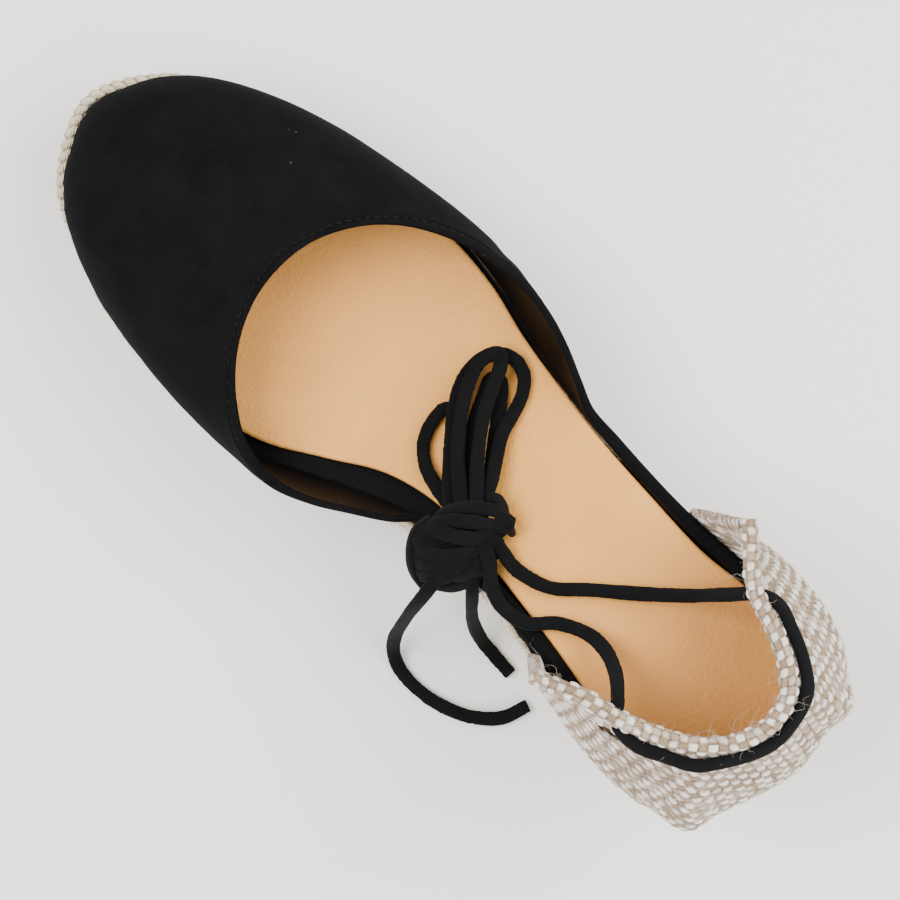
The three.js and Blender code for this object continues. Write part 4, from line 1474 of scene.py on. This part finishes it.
@dataclass(frozen=True)
class SuedeUpper:
    """The vamp with its wings and tails: folded and stitched top line, soft ripples where it is lasted.

    Args:
        seam: Distance of the stitched line from the top line.
        stitch_pitch: Distance between stitches.
        stitch_long, stitch_thick: Half sizes of a stitch.
        stitch_to: Place on the wall, from the toe, at which the stitching ends.
        sections, wall_rows, roll_rows: Fineness along the wall, up its skins and round its top line.
        thick: Thickness of the wall.
        tail_extra, tip_extra: How much thicker the tails and their tips are.
        least_roll: Smallest radius of the top line.
        neck: Distance below the top line over which it runs into the wall.
        full_lateral, full_medial: Height, middle and reach along the shoe of the swell at each wing's front.
        ripple, ripple_pitch: Height and spacing of the ripples over the sole's edge.
        lining_from: Distance round the top line from which the inner skin shows lining.
    """

    seam: float = 2.3
    stitch_pitch: float = 2.5
    stitch_long: float = 0.85
    stitch_thick: float = 0.19
    stitch_to: float = 152.0
    sections: int = 440
    wall_rows: int = 56
    roll_rows: int = 9
    thick: float = 1.5
    tail_extra: float = 1.3
    tip_extra: float = 1.0
    least_roll: float = 0.85
    neck: float = 1.6
    full_lateral: tuple[float, float, float] = (0.55, 18.0, 11.0)
    full_medial: tuple[float, float, float] = (0.9, 21.0, 9.0)
    ripple: float = 0.22
    ripple_pitch: float = 5.2
    lining_from: float = 1.4

    def profile(self) -> Profile:
        """The upper's wall.

        Returns:
            Its section all along the edge.
        """
        first, last = UPPER_ROWS.rows[0][0], UPPER_ROWS.rows[-1][0]
        stations = np.linspace(first, last, self.sections)
        tail = smoothstep(np.abs(stations), 150, 172)
        tip = smoothstep(np.abs(stations), 172, 212)
        thick = self.thick + self.tail_extra * tail + self.tip_extra * tip
        roll = np.maximum(self.least_roll, thick / 2)
        return Profile(
            UPPER_WALL, stations, self.wall_rows, self.roll_rows, thick, roll, self.neck,
            shift=self.tail_extra * tail, crowd=1.5, pinch=2.4,
        )

    def relief(self, field: dict[str, np.ndarray]) -> np.ndarray:
        """How far the outer skin stands proud: fold, seam, lasting ripples and soft creases.

        Args:
            field: The wall's points and what belongs to each.

        Returns:
            One distance for each point.
        """
        down, turn, along, places = field["down"], field["turn"], field["along"], field["places"]
        outside = turn < 0
        x, y, z = places[..., 0], places[..., 1], places[..., 2]
        seam = hump(down, -0.42, self.seam, 0.5)
        fold = hump(down, 0.16, 1.1, 0.7)
        puff = hump(down, 0.14, 3.8, 1.1)
        above = z - bed(y)
        beat = np.sin(along * 2 * math.pi / self.ripple_pitch + 0.8 * np.sin(along / 9))
        lasting = self.ripple * beat * np.exp(-above / 3.2)
        vamp = smoothstep(y, 30, 60)
        swell = 0.35 * np.sin(x / 11 + y / 17) * np.sin(y / 13 - x / 23) * vamp
        crease = hump(y + 0.35 * (x - 30), -0.5, 22, 3.2) * smoothstep(x, 24, 34)
        crease += hump(y - 0.4 * (x + 36), -0.4, 14, 3.0) * smoothstep(-x, 28, 37)
        wall = smoothstep(down, 1.5, 5)
        full = hump(y, *self.full_lateral) * smoothstep(x, 26, 36)
        full += hump(y, *self.full_medial) * smoothstep(-x, 26, 36)
        full *= 1 - smoothstep(down, 7, 18)
        surface = seam + fold + puff + full + (lasting + swell + crease) * wall
        return np.where(outside, surface, 0) * field["close"]

    def stitches(self, field: dict[str, np.ndarray]) -> bpy.types.Object:
        """The row of thread beside the folded edge.

        Args:
            field: The wall's points and what belongs to each.

        Returns:
            The stitches as one piece.
        """
        half = field["places"].shape[0] // 2
        outer = slice(0, half)
        nearest = np.argmin(np.abs(field["down"][outer] - self.seam), axis=0)
        columns = np.arange(field["places"].shape[1])
        line = field["places"][nearest, columns]
        out = field["facing"][nearest, columns]
        stations = self.profile().stations
        run = np.abs(stations) < self.stitch_to
        line, out = line[run], out[run]
        along = travelled(line)
        at = np.arange(self.stitch_pitch, along[-1] - self.stitch_pitch, self.stitch_pitch)
        spot = np.stack([np.interp(at, along, line[:, k]) for k in range(3)], axis=1)
        face = unit(np.stack([np.interp(at, along, out[:, k]) for k in range(3)], axis=1))
        ahead = np.stack([np.interp(at + 0.5, along, line[:, k]) for k in range(3)], axis=1)
        way = unit(ahead - spot)
        side = np.cross(face, way)
        thick = self.stitch_thick
        frames = np.stack([way * self.stitch_long, side * thick, face * thick], axis=2)
        return many("upper_stitches", small_bead(6, 4), frames, spot - face * 0.12)

    def build(self, suede: bpy.types.Material, lining: bpy.types.Material, thread: bpy.types.Material,
              ) -> list[bpy.types.Object]:
        """Makes and dresses the upper.

        Args:
            suede: Finish of the outer skin.
            lining: Finish of the inner skin.
            thread: Finish of the stitches.

        Returns:
            The pieces.
        """
        field = self.profile().field()
        stitches = self.stitches(field)
        places = field["places"] + field["facing"] * self.relief(field)[..., None]
        coords = np.stack([field["along"], field["turn"]], axis=-1) / 10
        piece = grid_piece("upper_suede", wrap_rows(places), wrap_rows(coords))
        turn = wrap_rows(field["turn"]).ravel()
        piece.data.materials.append(suede)
        piece.data.materials.append(lining)
        corners = np.zeros(len(piece.data.loops), np.int32)
        piece.data.loops.foreach_get("vertex_index", corners)
        least = turn[corners].reshape(-1, 4).min(axis=1)
        piece.data.polygons.foreach_set("material_index", (least > self.lining_from).astype(np.int32))
        close_and_face_out(piece)
        stitches.data.materials.append(thread)
        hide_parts("upper")
        return [piece, stitches]


@dataclass(frozen=True)
class WovenCounter:
    """The heel counter: coarse basket weave with a rolled rim and a slit on each side for the lace.

    Args:
        cell_long, cell_high: Size of a cell of the weave.
        proud: Height of the weave's relief.
        slit_half: Half the length of a slit.
        slit_open: How far each lip of a slit moves away from the other.
        slit_at: Place of the slits up the outer skin, as a share of its rows.
        slit_fade: Rows over which a lip's move fades.
        sections, wall_rows, roll_rows: Fineness along the wall, up its skins and round its rim.
        thick: Thickness of the wall.
        roll: Radius of the rim.
        neck: Distance below the rim over which it runs into the wall.
        most_rows, most_columns: More rows and columns of the weave than there are.
        fuzz_count, fuzz_radius: Number and radius of the loose fibres.
        seed: Seed of the weave's small variations.
    """

    cell_long: float = 2.4
    cell_high: float = 2.15
    proud: float = 0.72
    slit_half: float = 5.2
    slit_open: float = 1.5
    slit_at: float = 0.83
    slit_fade: float = 4.0
    sections: int = 430
    wall_rows: int = 106
    roll_rows: int = 14
    thick: float = 2.0
    roll: float = 1.95
    neck: float = 3.2
    most_rows: int = 200
    most_columns: int = 160
    fuzz_count: int = 950
    fuzz_radius: float = 0.034
    seed: int = 23

    def profile(self) -> Profile:
        """The counter's wall.

        Returns:
            Its section all along the edge.
        """
        first, last = COUNTER_ROWS.rows[0][0], COUNTER_ROWS.rows[-1][0]
        stations = np.linspace(first, last, self.sections)
        full = np.ones(len(stations))
        return Profile(
            COUNTER_WALL, stations, self.wall_rows, self.roll_rows, full * self.thick, full * self.roll,
            self.neck, shift=full * 0,
        )

    def build(self, woven: bpy.types.Material, yarn: bpy.types.Material) -> list[bpy.types.Object]:
        """Makes and dresses the counter.

        Args:
            woven: Finish of the cloth.
            yarn: Finish of the loose fibres.

        Returns:
            The pieces.
        """
        rng = np.random.default_rng(self.seed)
        profile = self.profile()
        field, stations = profile.field(), profile.stations
        places, facing, turn = field["places"], field["facing"], field["turn"]
        steps = np.linalg.norm(np.diff(places, axis=1), axis=2)
        travel = np.concatenate([np.zeros((len(places), 1)), np.cumsum(steps, axis=1)], axis=1)
        travel = travel - travel[:, [int(np.argmin(np.abs(stations)))]]
        rim = 1 - smoothstep(np.abs(turn), 3.5, 9)
        travel = travel + (travel[[self.wall_rows]] - travel) * rim
        travel = travel + 0.22 * np.sin(travel / 5.3 + turn / 4.1) + 0.15 * np.sin(turn / 2.9)
        across = travel / self.cell_long + 60.5 + 0.10 * np.sin(turn / 7.1 + 1.0)
        upward = turn / self.cell_high + 0.12 * np.sin(across * 0.55) + 40.5
        row = np.floor(upward).astype(int)
        own_row = np.clip(row, 0, self.most_rows - 1)
        across = across + rng.uniform(-0.2, 0.2, self.most_rows)[own_row]
        column = np.floor(across).astype(int)
        own_column = np.clip(column, 0, self.most_columns - 1)
        random, second = rng.uniform(0, 1, (2, self.most_rows, self.most_columns))[:, own_row, own_column]
        a, b = (across - column) * 2 - 1, (upward - row) * 2 - 1
        a = a + 0.5 * b * (second - 0.15)
        white = ((column + row) % 2).astype(float)
        fat = np.sqrt(np.clip(1 - np.abs(a) ** 2.3, 0, 1) * np.clip(1 - np.abs(b) ** 3.0, 0, 1))
        thin = np.sqrt(np.clip(1 - np.abs(b) ** 2.3, 0, 1) * np.clip(1 - np.abs(a) ** 5.0, 0, 1))
        height = np.where(white > 0, fat, thin * 0.6) * (0.7 + 0.6 * random)
        quiet = field["close"] * np.where(turn > 0, 0.8, 1.0)
        places = places + facing * ((height - 0.45) * self.proud * quiet)[..., None]
        buckle = 0.35 * np.sin(stations / 7.3)[None] * smoothstep(field["down"], 4, 14)
        places = places + facing * (buckle * quiet)[..., None]
        slit_row = int(self.wall_rows * self.slit_at)
        up = unit(np.roll(places, -1, axis=0) - np.roll(places, 1, axis=0))
        rows = np.arange(len(places))
        for centre in (-SLOT_STATION, SLOT_STATION):
            lens = np.clip(1 - ((stations - centre) / self.slit_half) ** 2, 0, 1)
            for start in (slit_row, len(places) - 2 - slit_row):
                away = np.where(rows <= start, start - rows, rows - start - 1)
                push = np.where(rows <= start, -1, 1) * np.exp(-away / self.slit_fade) * self.slit_open
                places = places + up * (push[:, None] * lens[None])[..., None]
        coords = np.stack([across, upward], axis=-1)
        piece = grid_piece("counter_woven", wrap_rows(places), wrap_rows(coords))
        tone = white * (0.85 - 0.5 * (second > 0.86)) + 0.5 * (random - 0.38)
        set_value(piece, "tone", wrap_rows(np.clip(tone, 0, 1)))
        # Painted shade: the weave's height, which the woven finish uses to darken the crevices between the
        # yarns.
        set_value(piece, "relief", wrap_rows(np.clip(height * 1.35 - 0.08, 0, 1)))
        self.cut_slits(piece, len(stations), slit_row, len(places))
        close_and_face_out(piece)
        piece.data.materials.append(woven)
        fuzz = self.fuzz(places, facing, rng)
        fuzz.data.materials.append(yarn)
        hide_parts("counter")
        return [piece, fuzz]

    def cut_slits(self, piece: bpy.types.Object, columns: int, slit_row: int, rows: int) -> None:
        """Opens the two slits through the wall and joins the outer skin to the inner round each.

        Args:
            piece: The counter.
            columns: Its points along the wall.
            slit_row: The row of faces, up the outer skin, that the slits take.
            rows: Its points round the section.
        """
        stations = self.profile().stations
        for centre in (-SLOT_STATION, SLOT_STATION):
            span = np.where(np.abs(stations - centre) < self.slit_half * 0.96)[0]
            pick(piece)
            bpy.ops.object.mode_set(mode="EDIT")
            bpy.ops.mesh.select_mode(type="FACE")
            bpy.ops.mesh.select_all(action="DESELECT")
            bpy.ops.object.mode_set(mode="OBJECT")
            starts = (slit_row, rows - 2 - slit_row)
            wanted = {start * (columns - 1) + column for start in starts for column in span[:-1]}
            spots = np.array([list(piece.data.polygons[k].vertices) for k in sorted(wanted)])
            bounds = set(spots.ravel().tolist())
            for k in wanted:
                piece.data.polygons[k].select = True
            bpy.ops.object.mode_set(mode="EDIT")
            bpy.ops.mesh.delete(type="ONLY_FACE")
            bpy.ops.mesh.select_mode(type="EDGE")
            bpy.ops.mesh.select_all(action="DESELECT")
            bpy.ops.mesh.select_non_manifold(
                extend=False, use_wire=True, use_boundary=True, use_multi_face=False,
                use_non_contiguous=False, use_verts=False,
            )
            bpy.ops.object.mode_set(mode="OBJECT")
            for edge in piece.data.edges:
                if edge.select and not (edge.vertices[0] in bounds and edge.vertices[1] in bounds):
                    edge.select = False
            bpy.ops.object.mode_set(mode="EDIT")
            bpy.ops.mesh.bridge_edge_loops()
            bpy.ops.object.mode_set(mode="OBJECT")

    def fuzz(self, places: np.ndarray, facing: np.ndarray, rng: np.random.Generator) -> bpy.types.Object:
        """Loose fibres along the rim and over the cloth.

        Args:
            places: The wall's points.
            facing: The way that the cloth looks at each.
            rng: The counter's random source.

        Returns:
            The fibres as one piece.
        """
        count = self.fuzz_count
        rows, columns = places.shape[:2]
        rim = rng.uniform(0, 1, count) < 0.55
        row = np.where(rim, rng.normal(rows / 2, 12, count), rng.uniform(4, rows - 4, count))
        row = np.clip(row, 2, rows - 3).astype(int)
        column = rng.integers(4, columns - 4, count)
        out = facing[row, column]
        lean = unit(out + rng.normal(0, 0.9, (count, 3)))
        stray = rng.uniform(0, 1, count) < 0.12
        long = np.where(stray, rng.uniform(4.5, 8.5, count), rng.uniform(1.0, 3.2, count))
        root = places[row, column] - out * 0.2
        return fibres("counter_fuzz", root, lean, long, self.fuzz_radius, self.seed)


@dataclass(frozen=True)
class Lace:
    """The flat suede lace: its run through the heel counter, the knot, the bow and the two free ends.

    Args:
        width, thick: Sizes of the flat lace.
        step: Distance between rings along it.
        corners: Points round it.
        squarish: Below 1, its section is squarer than an ellipse.
        knot_core: Half sizes of the knot's core.
        seed: Seed of its ragged edges.
    """

    width: float = 3.5
    thick: float = 2.0
    step: float = 0.55
    corners: int = 14
    squarish: float = 0.62
    knot_core: tuple[float, float, float] = (11.4, 8.6, 5.0)
    seed: int = 5

    def strap(self, name: str, route: np.ndarray, hints: np.ndarray) -> bpy.types.Object:
        """A flat strap along a route.

        Args:
            name: The piece's name.
            route: The points it follows, in millimetres.
            hints: For each point, the direction that its flat face looks.

        Returns:
            The strap, a closed tube.
        """
        rng = np.random.default_rng(self.seed + len(name))
        line = smooth_curve(route, False, 30)
        along = travelled(line)
        hints = unit(np.asarray(hints, float))
        stops = along[np.round(np.linspace(0, len(line) - 1, len(route))).astype(int)]
        count = max(8, int(along[-1] / self.step))
        wanted = np.linspace(0, along[-1], count)
        centre = np.stack([np.interp(wanted, along, line[:, k]) for k in range(3)], axis=1)
        face = np.stack([np.interp(wanted, stops, hints[:, k]) for k in range(3)], axis=1)
        run = unit(np.gradient(centre, axis=0))
        face = unit(face - run * np.einsum("ij,ij->i", face, run)[:, None])
        side = np.cross(run, face)
        angle = np.linspace(0, 2 * math.pi, self.corners, endpoint=False)
        c, s = np.cos(angle), np.sin(angle)
        a = np.sign(c) * np.abs(c) ** self.squarish * self.width / 2
        b = np.sign(s) * np.abs(s) ** self.squarish * self.thick / 2
        wave = 1 + 0.035 * np.sin(wanted / 6.1) + 0.02 * np.sin(wanted / 2.3 + 1)
        ragged = rng.normal(0, 0.055, (count, self.corners)) * (np.abs(c) ** 2)[None]
        places = (
            centre[:, None] + side[:, None] * (a[None] * wave[:, None] + ragged * np.sign(c)[None])[..., None]
            + face[:, None] * (b[None] * wave[:, None])[..., None]
        )
        ends = []
        for index, reach in ((0, -0.12), (-1, 0.12)):
            cap = centre[index] + (places[index] - centre[index]) * 0.86 + run[index] * reach
            middle = np.repeat((centre[index] + run[index] * reach)[None], self.corners, axis=0)
            ends.append((cap, middle))
        (first_cap, first_middle), (last_cap, last_middle) = ends
        places = np.concatenate([
            first_middle[None], first_cap[None], places, last_cap[None], last_middle[None],
        ])
        long = np.concatenate([[0, 0], wanted, [wanted[-1]] * 2])
        coords = np.stack(np.broadcast_arrays(long[:, None], angle[None]), axis=-1)
        places = np.concatenate([places, places[:, :1]], axis=1)
        coords = np.concatenate([coords, coords[:, :1]], axis=1)
        piece = grid_piece(name, places, coords)
        close_and_face_out(piece)
        return piece

    def on_insole(self, rows: tuple[tuple[float, ...], ...]) -> np.ndarray:
        """A loop's points, from their heights above the insole.

        Args:
            rows: Its points, with z above the insole.

        Returns:
            The points in the frame.
        """
        points = np.array(rows, float)
        points[:, 2] += insole_top(points[:, 1])
        return points

    def run_route(self) -> tuple[np.ndarray, np.ndarray]:
        """The run's points and the way its flat face looks at each.

        Returns:
            Points and directions, one a row.
        """
        stations = np.array(BAND_STATIONS, float)
        share = 0.88 - 0.01 * np.abs(stations) / stations.max()
        facing = COUNTER_WALL.facing(stations, share)
        band = COUNTER_WALL.point(stations, share) + facing * (self.thick / 2 + 0.75)
        slot = np.array([-SLOT_STATION, SLOT_STATION])
        slot_out = COUNTER_WALL.facing(slot, np.full(2, SLOT_HEIGHT))
        through = COUNTER_WALL.point(slot, np.full(2, SLOT_HEIGHT)) - slot_out * 1.0
        medial, lateral = np.array(STRAND_MEDIAL, float), np.array(STRAND_LATERAL, float)[::-1]
        rising = np.array([0.0, 0.35, 1.0])
        points = np.vstack([medial, through[:1], band, through[1:], lateral])
        hints = np.vstack([
            np.tile(rising, (len(medial), 1)), (facing[:1] + rising) / 2, facing + [0, 0, 0.55],
            (facing[-1:] + rising) / 2, np.tile(rising, (len(lateral), 1)),
        ])
        return points, hints

    def knot(self) -> bpy.types.Object:
        """The knot: turns of lace wrapped over one another round a lumpy core.

        Returns:
            The knot as one piece.
        """
        upright = np.array([0.0, 0.3, 1.0])
        middle = self.on_insole((KNOT_CENTRE,))[0]
        across, along = unit(np.array([0.72, -0.66, 0.22])), unit(np.array([0.66, 0.72, -0.2]))
        straps = []
        for k, rows in enumerate(KNOT_STRAPS):
            route = self.on_insole(rows)
            away = route - (middle - np.array([0, 0, 3.0]))
            straps.append(self.strap(f"knot_turn_{k}", route, unit(away) + 0.35 * unit(upright)))
        clear_selection()
        bpy.ops.mesh.primitive_uv_sphere_add(segments=48, ring_count=28, radius=1)
        core = bpy.context.object
        own = np.zeros(len(core.data.vertices) * 3)
        core.data.vertices.foreach_get("co", own)
        own = own.reshape(-1, 3)
        lumps = 1 + 0.05 * np.sin(own[:, [0]] * 8 + own[:, [1]] * 5) + 0.03 * np.sin(own[:, [1]] * 13)
        up = np.cross(across, along)
        wide, deep, high = self.knot_core
        places = across * own[:, [0]] * wide + along * own[:, [1]] * deep + up * own[:, [2]] * high
        set_places(core, middle + places * lumps)
        clear_selection()
        for part in straps + [core]:
            part.select_set(True)
        bpy.context.view_layer.objects.active = core
        bpy.ops.object.join()
        core.name = "lace_tied_knot"
        core.data.name = core.name
        pick(core)
        bpy.ops.object.shade_smooth()
        return core

    def build(self, suede: bpy.types.Material) -> list[bpy.types.Object]:
        """Makes and dresses every stretch of lace, and hides the part's own lace.

        Args:
            suede: Its finish.

        Returns:
            The pieces.
        """
        upright = np.array([0.0, 0.35, 1.0])
        knot = self.knot()
        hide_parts("lace_knot")
        run = self.strap("lace_through_counter", *self.run_route())
        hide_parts("lace_run")
        pieces = [knot, run]
        loops = (
            ("bow_loop_left", LOOP_LEFT, "lace_loop_left"), ("bow_loop_right", LOOP_RIGHT, "lace_loop_right"),
            ("bow_loop_top", LOOP_TOP, "lace_loop_top"), ("bow_loop_inner", LOOP_INNER, ""),
        )
        for name, rows, node in loops:
            route = self.on_insole(rows)
            piece = self.strap(name, route, np.tile(upright, (len(route), 1)))
            if node:
                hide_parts(node)
            pieces.append(piece)
        ends = (
            ("free_end_short", END_SHORT, "lace_end_short", (0.1, -1.0)),
            ("free_end_long", END_LONG, "lace_end_long", (-0.4, -0.9)),
        )
        for name, rows, node, heading in ends:
            route = np.array(rows, float)
            hanging = smoothstep(route[:, 2], 2, 9) * (1 - smoothstep(route[:, 2], 46, 50))
            hints = np.column_stack([np.outer(hanging, heading), np.ones(len(route))])
            piece = self.strap(name, route, hints)
            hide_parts(node)
            pieces.append(piece)
        for piece in pieces:
            piece.data.materials.clear()
            piece.data.materials.append(suede)
        return pieces


# ---------------------------------------------------------------- studio


@dataclass(frozen=True)
class Studio:
    """Pale floor, soft lights and a camera that looks straight down on the shoe.

    Args:
        eye: The camera's place, in millimetres.
        aim: What it looks at, in millimetres.
        field: Width of the view at what it looks at, in millimetres.
        sensor: Width of the camera's sensor, in millimetres.
    """

    eye: tuple[float, float, float] = (-43.1, -10.2, 1100.0)
    aim: tuple[float, float, float] = (-2.0, -7.0, 30.0)
    field: float = 224.0
    sensor: float = 36.0

    def floor(self) -> None:
        """A wide pale floor."""
        clear_selection()
        bpy.ops.mesh.primitive_plane_add(size=6, location=(0, 0, 0))
        floor = bpy.context.object
        floor.name = "studio_floor"
        bench = Bench("studio_floor")
        shade = bench.blend(bench.noise(bench.object, 3.0), (0.96, 0.96, 0.96), (0.98, 0.98, 0.98))
        grain = bench.bump(bench.noise(bench.object, 900.0), 0.02, 0.0001)
        floor.data.materials.append(bench.finish(shade, grain, 0.9, 0.0, 0.1))

    def light(self, name: str, place: tuple[float, float, float], size: float, power: float) -> None:
        """A square soft light that looks at the shoe.

        Args:
            name: The light's name.
            place: Its place in metres.
            size: Its side in metres.
            power: Its power in watts.
        """
        lamp = bpy.data.lights.new(name, "AREA")
        lamp.shape = "SQUARE"
        lamp.size = size
        lamp.energy = power
        thing = bpy.data.objects.new(name, lamp)
        bpy.context.scene.collection.objects.link(thing)
        thing.location = place
        thing.rotation_euler = (-Vector(place)).to_track_quat("-Z", "Y").to_euler()

    def camera(self) -> None:
        """The camera, with the toe towards the upper left."""
        data = bpy.data.cameras.new("camera")
        eye, aim = Vector(self.eye) * MM, Vector(self.aim) * MM
        data.sensor_width = self.sensor
        data.lens = self.sensor * (eye - aim).length / (self.field * MM)
        data.clip_start, data.clip_end = 0.05, 20
        camera = bpy.data.objects.new("camera", data)
        bpy.context.scene.collection.objects.link(camera)
        back = (eye - aim).normalized()
        up = Vector((1, 1, 0))
        right = up.cross(back).normalized()
        up = back.cross(right)
        camera.matrix_world = Matrix((
            (right.x, up.x, back.x, eye.x), (right.y, up.y, back.y, eye.y), (right.z, up.z, back.z, eye.z),
            (0, 0, 0, 1),
        ))
        bpy.context.scene.camera = camera

    def build(self) -> None:
        """Sets up the whole studio."""
        self.floor()
        self.light("key", (-0.5, 0.55, 1.5), 0.9, 26.0)
        self.light("fill", (0.9, -0.5, 1.3), 1.2, 22.0)
        self.light("back", (0.1, -1.2, 0.9), 1.0, 9.0)
        world = bpy.data.worlds.new("studio")
        bpy.context.scene.world = world
        world.use_nodes = True
        world.node_tree.nodes["Background"].inputs["Color"].default_value = (1.0, 1.0, 1.0, 1.0)
        world.node_tree.nodes["Background"].inputs["Strength"].default_value = 1.05
        self.camera()


def main() -> None:
    """Builds the shoe and its studio around the frame."""
    logging.basicConfig(level=logging.INFO, format="%(message)s")
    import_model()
    Studio().build()
    suede = SuedeFinish().material()
    lace_suede = SuedeFinish(name="black_lace_suede", nap=3200.0, sheen=0.04, gloss=0.09).material()
    jute = JuteFinish().material()
    straw = PlainFinish("jute_fibre", (0.72, 0.60, 0.40)).material()
    yarn = PlainFinish("yarn_fibre", (0.80, 0.74, 0.64)).material()
    lining = PlainFinish("dark_lining", (0.0026, 0.0026, 0.0029), 1200.0, 0.5, 0.01, 0.08).material()
    thread = PlainFinish("black_thread", (0.006, 0.006, 0.0065), 4000.0, 0.7).material()
    pieces = Lace().build(lace_suede)
    pieces += JuteSole().build(jute, straw, lining)
    pieces += LeatherInsole().build(LeatherFinish().material())
    pieces += SuedeUpper().build(suede, lining, thread)
    pieces += WovenCounter().build(WovenFinish().material(), yarn)
    for piece in pieces:
        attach(piece, "root")
        piece.data.calc_loop_triangles()
        LOG.info("%s: %d triangles", piece.name, len(piece.data.loop_triangles))
    clear_selection()


if __name__ == "__main__":
    main()
